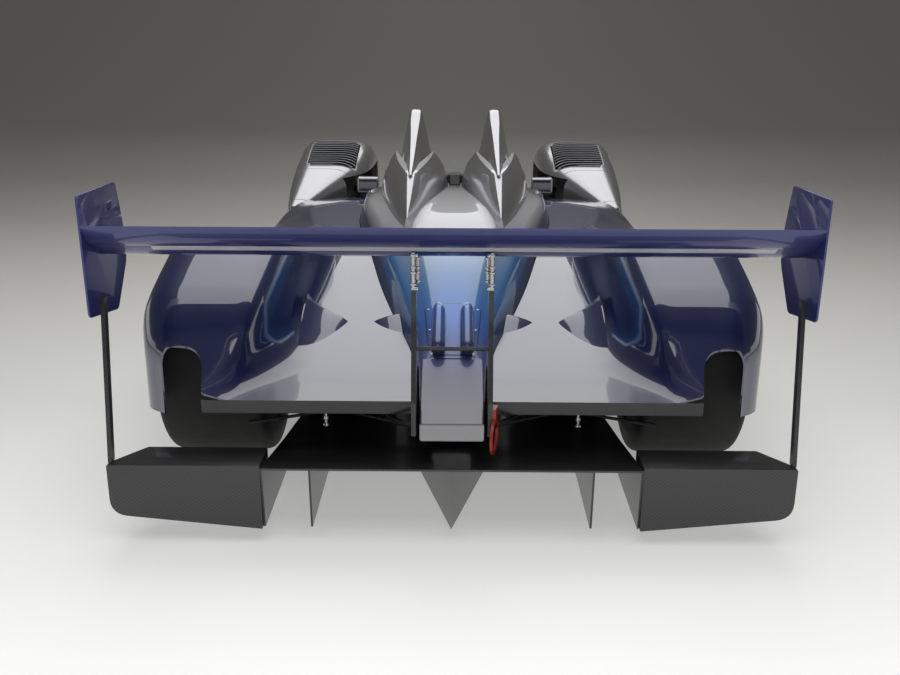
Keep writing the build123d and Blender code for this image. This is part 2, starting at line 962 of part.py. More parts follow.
def main():
    os.makedirs("parts", exist_ok=True)

    cover_solid = cover_form()
    rear_form = rear_fender_form()
    rear_fender = rear_fender_left()
    wing = wing_main_plane()
    pylons = wing_pylons(wing)
    tub_shape = tub_form()
    tub = monocoque_tub()
    front_form = front_fender_form()
    front_hollow = front_fender_form(skin)
    lamp = headlamp_left(front_form)

    save("engine_cover", engine_cover())
    both_sides("rear_fender", rear_fender)
    both_sides("rear_deck", rear_deck_left(cover_solid, rear_fender))
    save("tail_box", tail_box(pylons[0] + pylons[1]))
    save("tail_blisters", tail_blisters(cover_solid))
    save("roll_hoop_fairings", roll_hoop_fairings(cover_solid))
    save("monocoque_tub", tub)
    nose = nose_form()
    save("nose_cone", nose)
    pod = sidepod_left([rear_form, cover_solid, tub_shape, front_form, block(-301, 301, 1800, 2401, 0, 601)])
    both_sides("sidepod", pod)
    both_sides("front_fender", front_fender_left(front_form, front_hollow, louvre_window(), lamp))
    louvres = louvre_panel_left()
    save("louvre_panels", [louvres, mirrored(louvres)])
    save("headlamps", [lamp, mirrored(lamp)])

    save("floor_pan", floor_pan())
    save("front_splitter", front_splitter())
    save("rear_diffuser", rear_diffuser())
    end_box = diffuser_end_box()
    save("diffuser_end_boxes", [end_box, mirrored(end_box)])

    save("wing_main_plane", wing)
    save("wing_flap", wing_flap())
    save("wing_endplates", wing_endplates())
    save("wing_stays", wing_stays())
    save("wing_pylons", pylons)
    save("pylon_crossbar", pylon_crossbar())

    for end, width, diameter, half_track, station in (
        ("front", front_tyre_width, front_tyre_diameter, front_half_track, front_axle),
        ("rear", rear_tyre_width, rear_tyre_diameter, rear_half_track, rear_axle),
    ):
        both_sides(end + "_tyre", tyre(width, diameter, half_track, station))
        both_sides(end + "_rim", rim(width, diameter, half_track, station))

    both_sides("front_upright", front_upright_left())
    arms = front_wishbones_left(nose + tub_shape)
    save("front_wishbones", arms + [mirrored(arm) for arm in arms])
    gearbox = gearbox_case()
    upright = rear_upright_left()
    save("rear_uprights", [upright, mirrored(upright)])
    arms = rear_wishbones_left(gearbox, upright)
    save("rear_wishbones", arms + [mirrored(arm) for arm in arms])

    save("engine_block", engine_block())
    save("gearbox_case", gearbox)
    save("steering_wheel", steering_wheel())
    save("steering_column", steering_column(tub))
    save("driver_seat", driver_seat())
    save("windscreen", windscreen(tub_shape))
    save("mirrors", mirrors([pod, tub_shape]))
    save("tow_ring", tow_ring())


main()
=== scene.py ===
import math
from functools import partial

import bpy
from bpy.props import FloatProperty, FloatVectorProperty, IntProperty, PointerProperty
from bpy.types import Operator, Panel, PropertyGroup
from mathutils import Matrix, Vector


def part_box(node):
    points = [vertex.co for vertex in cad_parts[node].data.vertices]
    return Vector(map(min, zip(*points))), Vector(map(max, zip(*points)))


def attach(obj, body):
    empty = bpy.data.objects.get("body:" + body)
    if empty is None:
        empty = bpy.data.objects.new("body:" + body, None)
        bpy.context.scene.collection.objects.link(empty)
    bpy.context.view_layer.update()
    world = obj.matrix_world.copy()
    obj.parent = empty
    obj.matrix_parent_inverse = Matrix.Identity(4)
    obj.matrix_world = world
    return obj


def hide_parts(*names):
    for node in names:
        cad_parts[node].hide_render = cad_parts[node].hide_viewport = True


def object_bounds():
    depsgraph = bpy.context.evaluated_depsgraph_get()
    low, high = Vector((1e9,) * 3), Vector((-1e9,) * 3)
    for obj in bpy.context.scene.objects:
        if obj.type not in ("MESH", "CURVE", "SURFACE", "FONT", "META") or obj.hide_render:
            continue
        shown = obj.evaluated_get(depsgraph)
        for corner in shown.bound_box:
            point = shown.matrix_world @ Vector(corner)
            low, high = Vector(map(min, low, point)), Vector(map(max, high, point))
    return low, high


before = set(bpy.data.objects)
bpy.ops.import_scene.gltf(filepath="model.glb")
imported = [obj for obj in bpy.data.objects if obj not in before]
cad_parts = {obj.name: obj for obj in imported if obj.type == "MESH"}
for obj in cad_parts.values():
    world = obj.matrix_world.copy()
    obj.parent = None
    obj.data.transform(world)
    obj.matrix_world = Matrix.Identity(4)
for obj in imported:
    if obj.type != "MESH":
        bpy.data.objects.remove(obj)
cad_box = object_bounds()

bl_info = {
    "name": "Sports Prototype Race Car",
    "version": (1, 0, 0),
    "blender": (4, 5, 0),
    "location": "View3D > Sidebar > Race Car",
    "description": "Lacquered bodywork, wheels, cockpit and studio for a sports prototype race car",
    "category": "Object",
}

# The car stands with its tail at +Y; a station is a distance ahead of the tail plane
TAIL_Y = cad_box[1].y
HALF_WIDTH = cad_box[1].x
REAR_AXLE = TAIL_Y - sum(corner.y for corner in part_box("rear_tyre_left")) / 2
FRONT_AXLE = TAIL_Y - sum(corner.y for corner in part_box("front_tyre_left")) / 2
REAR_HUB_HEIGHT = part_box("rear_tyre_left")[1].z / 2
FRONT_HUB_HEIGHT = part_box("front_tyre_left")[1].z / 2
LEFT, RIGHT = 1, -1
SIDES = ((LEFT, "left"), (RIGHT, "right"))


def y_at(station):
    return TAIL_Y - station


# Shader helpers


class Value:
    """A number that varies over a surface; the usual signs on it add its Math nodes."""

    def __init__(self, finish, socket):
        self.finish = finish
        self.socket = socket

    def _sum(self, operation, first, second=None):
        values = [first] if second is None else [first, second]
        node = self.finish.node("ShaderNodeMath", {"operation": operation}, *values)
        return Value(self.finish, node.outputs[0])

    def __add__(self, other):
        return self._sum("ADD", self, other)

    def __radd__(self, other):
        return self._sum("ADD", other, self)

    def __sub__(self, other):
        return self._sum("SUBTRACT", self, other)

    def __rsub__(self, other):
        return self._sum("SUBTRACT", other, self)

    def __mul__(self, other):
        return self._sum("MULTIPLY", self, other)

    def __rmul__(self, other):
        return self._sum("MULTIPLY", other, self)

    def __truediv__(self, other):
        return self._sum("DIVIDE", self, other)

    def __gt__(self, other):
        return self._sum("GREATER_THAN", self, other)

    def __lt__(self, other):
        return self._sum("LESS_THAN", self, other)

    def __abs__(self):
        return self._sum("ABSOLUTE", self)

    def __mod__(self, other):
        return self._sum("FLOORED_MODULO", self, other)

    def most(self, other):
        return self._sum("MAXIMUM", self, other)

    def clamped(self):
        node = self.finish.node("ShaderNodeClamp", {}, self)
        return Value(self.finish, node.outputs[0])


class Finish:
    """One material: its main shader, the place on the surface, and any node by its type."""

    def __init__(self, name, **constants):
        self.material = bpy.data.materials.new(name)
        self.material.use_nodes = True
        self.tree = self.material.node_tree
        self.shader = self.tree.nodes["Principled BSDF"]
        for socket, value in constants.items():
            self.shader.inputs[socket.replace("_", " ")].default_value = value

    def node(self, kind, settings, *values, **named):
        """Adds a node; settings are set first, values go to its sockets in order or by name."""
        made = self.tree.nodes.new(kind)
        for key, value in settings.items():
            if key == "stops":
                ramp = made.color_ramp
                while len(ramp.elements) < len(value):
                    ramp.elements.new(0.5)
                for element, (place, colour) in zip(ramp.elements, value):
                    element.position = place
                    element.color = (*colour, 1)
            else:
                setattr(made, key, value)
        for index, value in enumerate(values):
            self.join(value, made.inputs[index])
        for socket, value in named.items():
            self.join(value, made.inputs[socket.replace("_", " ")])
        return made

    def join(self, value, socket):
        if isinstance(value, Value):
            value = value.socket
        if isinstance(value, bpy.types.NodeSocket):
            self.tree.links.new(value, socket)
        else:
            socket.default_value = value

    def place(self):
        """The point on the piece, in metres, as three values."""
        point = self.node("ShaderNodeTexCoord", {}).outputs["Object"]
        parts = self.node("ShaderNodeSeparateXYZ", {}, point)
        return [Value(self, parts.outputs[index]) for index in range(3)]

    def noise(self, scale, detail=2.0, roughness=0.5):
        point = self.node("ShaderNodeTexCoord", {}).outputs["Object"]
        made = self.node(
            "ShaderNodeTexNoise", {}, Vector=point, Scale=scale, Detail=detail, Roughness=roughness
        )
        return Value(self, made.outputs["Fac"])

    def blend(self, factor, first, second):
        """Mixes two colours, each a constant or a socket."""
        made = self.node("ShaderNodeMix", {"data_type": "RGBA"})
        self.join(factor, made.inputs[0])
        for value, socket in ((first, made.inputs[6]), (second, made.inputs[7])):
            self.join((*value, 1) if isinstance(value, (tuple, list)) else value, socket)
        return made.outputs[2]

    def set(self, socket, value):
        self.join(value, self.shader.inputs[socket])

    def bump(self, height, strength, distance):
        made = self.node("ShaderNodeBump", {}, Height=height)
        made.inputs["Strength"].default_value = strength
        made.inputs["Distance"].default_value = distance
        self.set("Normal", made.outputs["Normal"])


# Mesh helpers


def deselect():
    if bpy.context.object and bpy.context.object.mode != "OBJECT":
        bpy.ops.object.mode_set(mode="OBJECT")
    bpy.ops.object.select_all(action="DESELECT")


def make_active(piece):
    deselect()
    piece.select_set(True)
    bpy.context.view_layer.objects.active = piece


def apply_modifier(piece, kind, **settings):
    make_active(piece)
    modifier = piece.modifiers.new(kind.title(), kind)
    for key, value in settings.items():
        setattr(modifier, key, value)
    bpy.ops.object.modifier_apply(modifier=modifier.name)


def edit(piece, *steps):
    """Runs mesh operators on the whole piece, each given by its name and its settings."""
    make_active(piece)
    bpy.ops.object.mode_set(mode="EDIT")
    for operator, settings in steps:
        bpy.ops.mesh.select_all(action="SELECT")
        getattr(bpy.ops.mesh, operator)(**settings)
    bpy.ops.object.mode_set(mode="OBJECT")


OUTWARDS = ("normals_make_consistent", {"inside": False})


def recalculate(piece):
    edit(piece, ("remove_doubles", {"threshold": 0.00002}), OUTWARDS)


def smooth(piece, angle=35):
    make_active(piece)
    bpy.ops.object.shade_smooth_by_angle(angle=math.radians(angle))


def cut_away(piece, cutter):
    """Takes the cutter's volume out of the piece and deletes the cutter."""
    apply_modifier(piece, "BOOLEAN", object=cutter, operation="DIFFERENCE", solver="EXACT")
    bpy.data.objects.remove(cutter)


def settle(piece, name, finish, body="chassis", replaces=()):
    """Names the piece, puts its place into its mesh and hands it to its body."""
    make_active(piece)
    bpy.ops.object.transform_apply(location=True, rotation=True, scale=True)
    piece.name = name
    piece.data.name = name
    piece.data.materials.clear()
    piece.data.materials.append(MATERIALS[finish])
    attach(piece, body)
    if replaces:
        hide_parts(*replaces)
    return piece


def copy_of(piece, name, change=None):
    """A copy with its own mesh, moved by the given matrix."""
    twin = piece.copy()
    twin.data = piece.data.copy()
    bpy.context.scene.collection.objects.link(twin)
    twin.name = name
    twin.data.name = name
    if change is not None:
        twin.data.transform(change)
        if change.determinant() < 0:
            twin.data.flip_normals()
    return twin


def join(pieces):
    deselect()
    for piece in pieces:
        piece.select_set(True)
    bpy.context.view_layer.objects.active = pieces[0]
    bpy.ops.object.join()
    return bpy.context.object


MIRROR = Matrix.Diagonal((-1, 1, 1, 1))


def surface(name, rows, columns, place):
    """A sheet of quads: a grid whose every point goes where place(share along, share across) says."""
    deselect()
    bpy.ops.mesh.primitive_grid_add(x_subdivisions=rows, y_subdivisions=columns, size=1)
    piece = bpy.context.object
    piece.name = name
    for vertex in piece.data.vertices:
        vertex.co = place(vertex.co.x + 0.5, vertex.co.y + 0.5)
    piece.data.update()
    return piece


def face_up(piece):
    """Turns a sheet over if more of it looks down than up."""
    if sum(face.normal.z * face.area for face in piece.data.polygons) < 0:
        piece.data.flip_normals()
    return piece


def shell(name, rows, columns, place, thickness):
    """A sheet that looks upwards, with a wall of the given thickness under it."""
    piece = face_up(surface(name, rows, columns, place))
    apply_modifier(piece, "SOLIDIFY", thickness=thickness, offset=-1, use_even_offset=False)
    return piece


def hull(name, rows, columns, place):
    """A closed body: its sections are closed loops, and its two ends are filled."""
    piece = surface(name, rows, columns, place)
    recalculate(piece)
    edit(piece, ("fill_holes", {"sides": 0}), OUTWARDS)
    return piece


def prism(name, outline, place, depth):
    """A flat outline of points, set out by place(a, b) and pushed out along the vector depth."""
    deselect()
    bpy.ops.mesh.primitive_circle_add(vertices=len(outline), radius=1, fill_type="NGON")
    piece = bpy.context.object
    piece.name = name
    for vertex, (a, b) in zip(piece.data.vertices, outline):
        vertex.co = place(a, b)
    edit(piece, ("extrude_region_move", {"TRANSFORM_OT_translate": {"value": depth}}), OUTWARDS)
    return piece


def side_plate(name, outline, x_from, x_to, rounding=0.0):
    """A plate that stands fore and aft; the outline is closed, of (station, height, radius)."""
    loop = closed_path(outline)
    piece = prism(name, loop, lambda a, b: (x_from, y_at(a), b), (x_to - x_from, 0, 0))
    if rounding:
        apply_modifier(piece, "BEVEL", width=rounding, segments=3, limit_method="ANGLE")
    return piece


def lathe(name, profile, segments, axle=(0, 0, 0)):
    """Turns a closed outline of (x, radius) points round the X axis and sets it on its axle."""
    deselect()
    bpy.ops.mesh.primitive_circle_add(vertices=len(profile), radius=1, fill_type="NOTHING")
    piece = bpy.context.object
    piece.name = name
    for vertex, (x, radius) in zip(piece.data.vertices, profile):
        vertex.co = (x, 0, radius)
    turn = {"steps": segments, "angle": math.tau, "center": (0, 0, 0), "axis": (1, 0, 0)}
    edit(piece, ("spin", turn))
    recalculate(piece)
    piece.data.transform(Matrix.Translation(axle))
    return piece


def bar(name, start, end, radius, sides=16):
    """A round bar between two points, with slightly rounded ends."""
    start, end = Vector(start), Vector(end)
    deselect()
    bpy.ops.mesh.primitive_cylinder_add(vertices=sides, radius=radius, depth=(end - start).length)
    piece = bpy.context.object
    piece.name = name
    apply_modifier(piece, "BEVEL", width=radius * 0.2, segments=2, limit_method="ANGLE")
    turn = (end - start).to_track_quat("Z", "Y").to_matrix().to_4x4()
    piece.data.transform(Matrix.Translation((start + end) / 2) @ turn)
    return piece


def post(x, station, low, high, radius, sides=16):
    """An upright round bar."""
    return bar("post", (x, y_at(station), low), (x, y_at(station), high), radius, sides)


def brick(name, low, high, rounding, segments=3):
    """A block between two corners with rounded edges."""
    low, high = Vector(low), Vector(high)
    deselect()
    bpy.ops.mesh.primitive_cube_add(size=1)
    piece = bpy.context.object
    piece.name = name
    piece.data.transform(Matrix.Translation((low + high) / 2) @ Matrix.Diagonal((*(high - low), 1)))
    if rounding:
        apply_modifier(piece, "BEVEL", width=rounding, segments=segments)
    return piece


def plan(height):
    """Sets out the points (x, station) of an outline at one height."""
    return lambda x, station: (x, y_at(station), height)


def closed_path(corners, steps=5):
    """Points round a closed outline whose (a, b, radius) corners are rounded."""
    points = []
    count = len(corners)
    for index, (a, b, radius) in enumerate(corners):
        here = Vector((a, b))
        back = Vector(corners[index - 1][:2]) - here
        ahead = Vector(corners[(index + 1) % count][:2]) - here
        if not radius:
            points.append(here)
            continue
        half = back.angle(ahead) / 2
        reach = min(radius / math.tan(half), 0.48 * min(back.length, ahead.length))
        start, end = here + back.normalized() * reach, here + ahead.normalized() * reach
        for step in range(steps + 1):
            share = step / steps
            points.append(start * (1 - share) ** 2 + here * 2 * share * (1 - share) + end * share**2)
    return points


def row_at(table, station):
    """Values between the rows of a table, on a smooth curve through them."""
    if station <= table[0][0]:
        return list(table[0][1:])
    if station >= table[-1][0]:
        return list(table[-1][1:])
    index = next(i for i in range(len(table) - 1) if table[i][0] <= station <= table[i + 1][0])
    low, high = table[index], table[index + 1]
    before = table[max(index - 1, 0)]
    after = table[min(index + 2, len(table) - 1)]
    span = high[0] - low[0]
    share = (station - low[0]) / span
    values = []
    for column in range(1, len(low)):
        slope_low = (high[column] - before[column]) / max(high[0] - before[0], 1e-6) * span
        slope_high = (after[column] - low[column]) / max(after[0] - low[0], 1e-6) * span
        square, cube = share * share, share * share * share
        values.append(
            (2 * cube - 3 * square + 1) * low[column]
            + (cube - 2 * square + share) * slope_low
            + (3 * square - 2 * cube) * high[column]
            + (cube - square) * slope_high
        )
    return values


def rounded_path(corners, run_steps=6, arc_steps=10):
    """Points through (x, z, radius) corners: as many on every run and every arc, at any section."""
    points = []
    joints = []
    for index, (x, z, radius) in enumerate(corners):
        here = Vector((x, z))
        if index in (0, len(corners) - 1):
            joints.append((here, here, [here]))
            continue
        back = Vector(corners[index - 1][:2]) - here
        ahead = Vector(corners[index + 1][:2]) - here
        room = 0.48 * min(back.length, ahead.length)
        back.normalize()
        ahead.normalize()
        half = max(back.angle(ahead) / 2, 0.02)
        reach = min(radius / math.tan(half), room)
        start, end = here + back * reach, here + ahead * reach
        arc = []
        for step in range(arc_steps + 1):
            share = step / arc_steps
            flat = start * (1 - share) ** 2 + here * 2 * share * (1 - share) + end * share**2
            arc.append(flat)
        joints.append((start, end, arc))
    for index, (start, end, arc) in enumerate(joints):
        points += arc
        if index + 1 < len(joints):
            following = joints[index + 1][0]
            points += [end.lerp(following, step / run_steps) for step in range(1, run_steps)]
    return points


def point_on(points, share):
    """The point at a share of the list's length, counted in steps."""
    place = share * (len(points) - 1)
    index = min(int(place), len(points) - 2)
    return points[index].lerp(points[index + 1], place - index)


def ease(low, high, value):
    share = min(max((value - low) / (high - low), 0), 1)
    return share * share * (3 - 2 * share)


# Body sections, in metres

# station, deck height, foot of the flank, inner edge of the crest, crest, outer wall,
# blend radius, inner radius, outer radius, lower edge of the outer wall, fall of the crest outwards
REAR_BODY = [
    (0.150, 0.382, 0.690, 0.790, 0.400, 0.860, 0.10, 0.02, 0.02, 0.285, 0.0),
    (0.230, 0.389, 0.635, 0.725, 0.452, 0.872, 0.10, 0.05, 0.05, 0.285, 0.0),
    (0.290, 0.395, 0.605, 0.685, 0.505, 0.900, 0.11, 0.06, 0.06, 0.290, 0.0),
    (0.315, 0.398, 0.595, 0.668, 0.534, 0.938, 0.12, 0.06, 0.07, 0.290, 0.0),
    (0.350, 0.402, 0.582, 0.650, 0.574, 0.966, 0.13, 0.06, 0.10, 0.288, 0.0),
    (0.450, 0.412, 0.556, 0.612, 0.668, 0.993, 0.14, 0.07, 0.14, 0.262, 0.0),
    (0.750, 0.442, 0.525, 0.575, 0.772, 1.000, 0.12, 0.08, 0.17, 0.061, 0.0),
    (1.120, 0.480, 0.505, 0.572, 0.712, 0.994, 0.12, 0.08, 0.16, 0.061, 0.012),
    (1.500, 0.520, 0.500, 0.575, 0.630, 0.972, 0.10, 0.08, 0.13, 0.061, 0.020),
    (1.750, 0.540, 0.520, 0.610, 0.588, 0.950, 0.08, 0.07, 0.10, 0.061, 0.035),
    (2.000, 0.560, 0.560, 0.660, 0.573, 0.938, 0.05, 0.05, 0.08, 0.061, 0.065),
    (2.300, 0.570, 0.600, 0.720, 0.568, 0.925, 0.05, 0.05, 0.08, 0.061, 0.090),
    (2.600, 0.566, 0.600, 0.740, 0.554, 0.905, 0.05, 0.05, 0.08, 0.061, 0.050),
    (2.950, 0.520, 0.600, 0.740, 0.508, 0.880, 0.05, 0.05, 0.08, 0.061, 0.0),
    (3.060, 0.470, 0.590, 0.730, 0.458, 0.862, 0.05, 0.05, 0.07, 0.061, 0.0),
    (3.098, 0.300, 0.580, 0.720, 0.295, 0.850, 0.05, 0.05, 0.06, 0.061, 0.0),
    (3.100, 0.080, 0.580, 0.720, 0.080, 0.848, 0.01, 0.01, 0.01, 0.061, 0.0),
]
BODY_JOINT = 1.500

# station, inner wall, crest, outer wall, inner radius, outer radius, lower edge
FRONT_FENDER = [
    (2.790, 0.840, 0.500, 0.915, 0.03, 0.03, 0.440),
    (3.100, 0.690, 0.590, 0.952, 0.09, 0.09, 0.330),
    (3.370, 0.556, 0.668, 0.965, 0.14, 0.12, 0.062),
    (3.680, 0.518, 0.740, 0.970, 0.15, 0.14, 0.062),
    (3.950, 0.515, 0.722, 0.970, 0.15, 0.14, 0.062),
    (4.250, 0.520, 0.590, 0.965, 0.12, 0.13, 0.062),
    (4.480, 0.550, 0.380, 0.945, 0.06, 0.10, 0.062),
    (4.536, 0.560, 0.280, 0.940, 0.06, 0.08, 0.062),
    (4.540, 0.565, 0.080, 0.935, 0.005, 0.005, 0.062),
]

# station, foot of the wall, top edge of the wall, its height, edge of the flat top, crest
ENGINE_COVER = [
    (0.380, 0.118, 0.106, 0.430, 0.052, 0.448),
    (0.550, 0.142, 0.120, 0.484, 0.055, 0.522),
    (0.850, 0.217, 0.186, 0.552, 0.070, 0.614),
    (1.150, 0.284, 0.248, 0.600, 0.095, 0.670),
    (1.600, 0.366, 0.334, 0.645, 0.150, 0.717),
    (2.000, 0.443, 0.418, 0.666, 0.220, 0.719),
    (2.400, 0.462, 0.445, 0.652, 0.290, 0.690),
]

# Hoop fairings: station, half width at the foot, ridge height of the shell
HOOP_SHELL = [
    (1.385, 0.010, 0.706),
    (1.550, 0.056, 0.768),
    (1.746, 0.100, 0.838),
    (2.000, 0.144, 0.900),
    (2.200, 0.160, 0.935),
    (2.380, 0.154, 0.945),
]
# station, half width at the foot, half width at the top, share of the way up to the hoop's top
HOOP_FIN = [
    (1.700, 0.020, 0.004, 0.00),
    (1.900, 0.044, 0.010, 0.26),
    (2.076, 0.062, 0.015, 0.53),
    (2.250, 0.078, 0.023, 0.82),
    (2.330, 0.084, 0.027, 0.96),
    (2.372, 0.086, 0.028, 1.00),
    (2.379, 0.080, 0.022, 0.97),
]
HOOP_X = 0.191
HOOP_FOOT = 0.655
HOOP_FRONT = 2.379
FIN_SHOULDER = 0.835

# Access panel on the engine cover: rear edge, length, half width there and its widening
PANEL_REAR, PANEL_LENGTH = 0.394, 0.250
PANEL_HALF, PANEL_FLARE = 0.074, 0.022
# Louvre in the top of each front fender
LOUVRE_REAR, LOUVRE_FRONT = 3.320, 3.702
# The seat's middle line, as (station, height)
SEAT_X = 0.122
SEAT_LINE = [
    (2.905, 0.215),
    (2.800, 0.205),
    (2.680, 0.215),
    (2.600, 0.275),
    (2.555, 0.360),
    (2.530, 0.460),
    (2.512, 0.555),
]

TAIL_EDGE = 0.170
WING_HALF = HALF_WIDTH - 0.006
ENDPLATE = [
    (0.0, 1.025, 0.012),
    (0.311, 1.015, 0.025),
    (0.348, 0.874, 0.06),
    (0.350, 0.775, 0.06),
    (0.238, 0.646, 0.03),
    (0.005, 0.685, 0.02),
]
FLAP = [(0.118, 0.882), (0.055, 0.899), (0.0005, 0.944), (0.062, 0.880)]
MAIN_PLANE = [(0.305, 0.872), (0.200, 0.862), (0.098, 0.872), (0.205, 0.824)]


def deck_height(station):
    return row_at(REAR_BODY, station)[0]


def cover_foot(station):
    """Inner edge of the deck: the foot of the engine cover, then the side of the cockpit."""
    if station <= 2.4:
        return row_at(ENGINE_COVER, station)[0]
    return 0.462 - 0.100 * ease(2.4, 3.1, station)


def body_section(station):
    deck, foot, crease, crest, outer, blend, r_in, r_out, low, fall = row_at(REAR_BODY, station)
    return rounded_path(
        [
            (cover_foot(station) + 0.001, deck, 0),
            (foot, deck, blend),
            (crease, crest, r_in),
            (outer, crest - fall, r_out),
            (outer, low, 0),
        ]
    )


def fender_section(station):
    inner, crest, outer, r_in, r_out, low = row_at(FRONT_FENDER, station)
    return rounded_path([(inner, low, 0), (inner, crest, r_in), (outer, crest, r_out), (outer, low, 0)])


def cover_section(station):
    foot, edge, edge_height, flat, crest = row_at(ENGINE_COVER, station)
    base = deck_height(station) - 0.004
    half = [(foot, base, 0), (edge, edge_height, 0.05), (flat, crest, 0.35)]
    return rounded_path([(-x, z, r) for x, z, r in half] + half[::-1])


def arc_through(start, middle, end, steps=14):
    """Points on a smooth bow from start to end through the middle point."""
    start, middle, end = Vector(start), Vector(middle), Vector(end)
    pull = middle * 2 - (start + end) / 2
    return [
        start * (1 - share) ** 2 + pull * 2 * share * (1 - share) + end * share**2
        for share in (step / steps for step in range(steps + 1))
    ]


def height_at(points, x):
    """Height of a section's upper surface at x."""
    best = -1.0
    for a, b in zip(points, points[1:]):
        if min(a.x, b.x) <= x <= max(a.x, b.x) and abs(b.x - a.x) > 1e-9:
            best = max(best, a.y + (b.y - a.y) * (x - a.x) / (b.x - a.x))
    return best


def sections(section, first, last, side=1):
    """Turns a section function into a place function for a sheet."""
    kept = {}

    def place(along, across):
        station = first + (last - first) * along
        if along not in kept:
            kept[along] = section(station)
        point = point_on(kept[along], across)
        return (side * point.x, y_at(station), point.y)

    return place


# Settings


def length(name, text, value, **limits):
    return FloatProperty(name=name, description=text, default=value, unit="LENGTH", **limits)


def angle(name, text, degrees):
    turn = math.radians(degrees)
    return FloatProperty(name=name, description=text, default=turn, subtype="ANGLE")


def colour(name, text, value):
    return FloatVectorProperty(name=name, description=text, default=value, subtype="COLOR")


class CarBody(PropertyGroup):
    """Sizes of the bodywork."""

    skin: length("Skin", "Thickness of the bodywork", 0.005, min=0.002)
    arch_radius: length("Arch radius", "Radius of the rear wheel arch", 0.387)
    slat_count: IntProperty(name="Slats", description="Slats in each fender's louvre", default=12, min=3)
    spoke_count: IntProperty(name="Spokes", description="Spokes on each wheel", default=10, min=5)


class CarPaint(PropertyGroup):
    """Colours of the car."""

    navy: colour("Navy", "Deep blue metallic lacquer", (0.003, 0.010, 0.075))
    silver: colour("Silver", "Silver metallic lacquer", (0.42, 0.42, 0.44))
    # Sky blue, lavender and teal are painted reflection: the wing's blue underside mirrored in the silver
    # engine cover, set into the cover's colour.
    sky_reflection: colour("Sky blue", "Middle of the cover's fade", (0.065, 0.19, 0.40))
    lavender_reflection: colour("Lavender", "Rear of the cover's fade", (0.07, 0.10, 0.29))
    teal_reflection: colour("Teal", "Deep blue of the cover's shoulders", (0.010, 0.19, 0.52))


class CarStudio(PropertyGroup):
    """Camera and light."""

    camera_back: length("Camera distance", "How far the lens is behind the tail", 2.6046)
    camera_height: length("Camera height", "Height of the lens", 1.469)
    camera_side: length("Camera offset", "Offset of the lens to the car's right", 0.0096)
    camera_down: angle("Camera tilt", "How far the camera looks down", 17.674)
    camera_turn: angle("Camera turn", "Turn of the camera to the side", 0.344)
    camera_roll: angle("Camera roll", "Roll of the camera", 0.263)
    lens: FloatProperty(name="Lens", description="Focal length in millimetres", default=39.77)
    ceiling: FloatProperty(
        name="Ceiling light", description="Power of the soft light overhead", default=300.0, unit="POWER"
    )


# Finishes

MATERIALS = {}


def lacquer(name, colour, metallic, roughness, coat=1.5, flake=0.12):
    """Metallic paint under clear lacquer: fine flake in its tone, and a faint orange peel."""
    finish = Finish(
        name, Metallic=metallic, Roughness=roughness, Coat_Weight=1.0, Coat_Roughness=0.025, Coat_IOR=coat
    )
    tone = finish.noise(900, 1, 0.6) * flake + finish.noise(3, 2) * flake * 0.5 + (1 - flake * 0.75)
    shade = finish.blend(tone.clamped(), (0, 0, 0), tuple(colour))
    finish.set("Base Color", shade)
    finish.set("Roughness", finish.noise(2.5, 3) * 0.08 + (roughness - 0.04))
    finish.bump(finish.noise(220, 1), 0.02, 0.001)
    return finish


def mottled(slot, low, high, grain, rough=None, bump=None, name=None, **constants):
    """A colour that drifts between two tones; its roughness and bump can follow the same grain."""
    finish = Finish(name or slot, **constants)
    cloud = finish.noise(*grain)
    finish.set("Base Color", finish.blend(cloud, low, high))
    if rough:
        finish.set("Roughness", cloud * rough[0] + rough[1])
    if bump:
        finish.bump(finish.noise(*bump[0]) if bump[0] else cloud, *bump[1:])
    MATERIALS[slot] = finish.material
    return finish, cloud


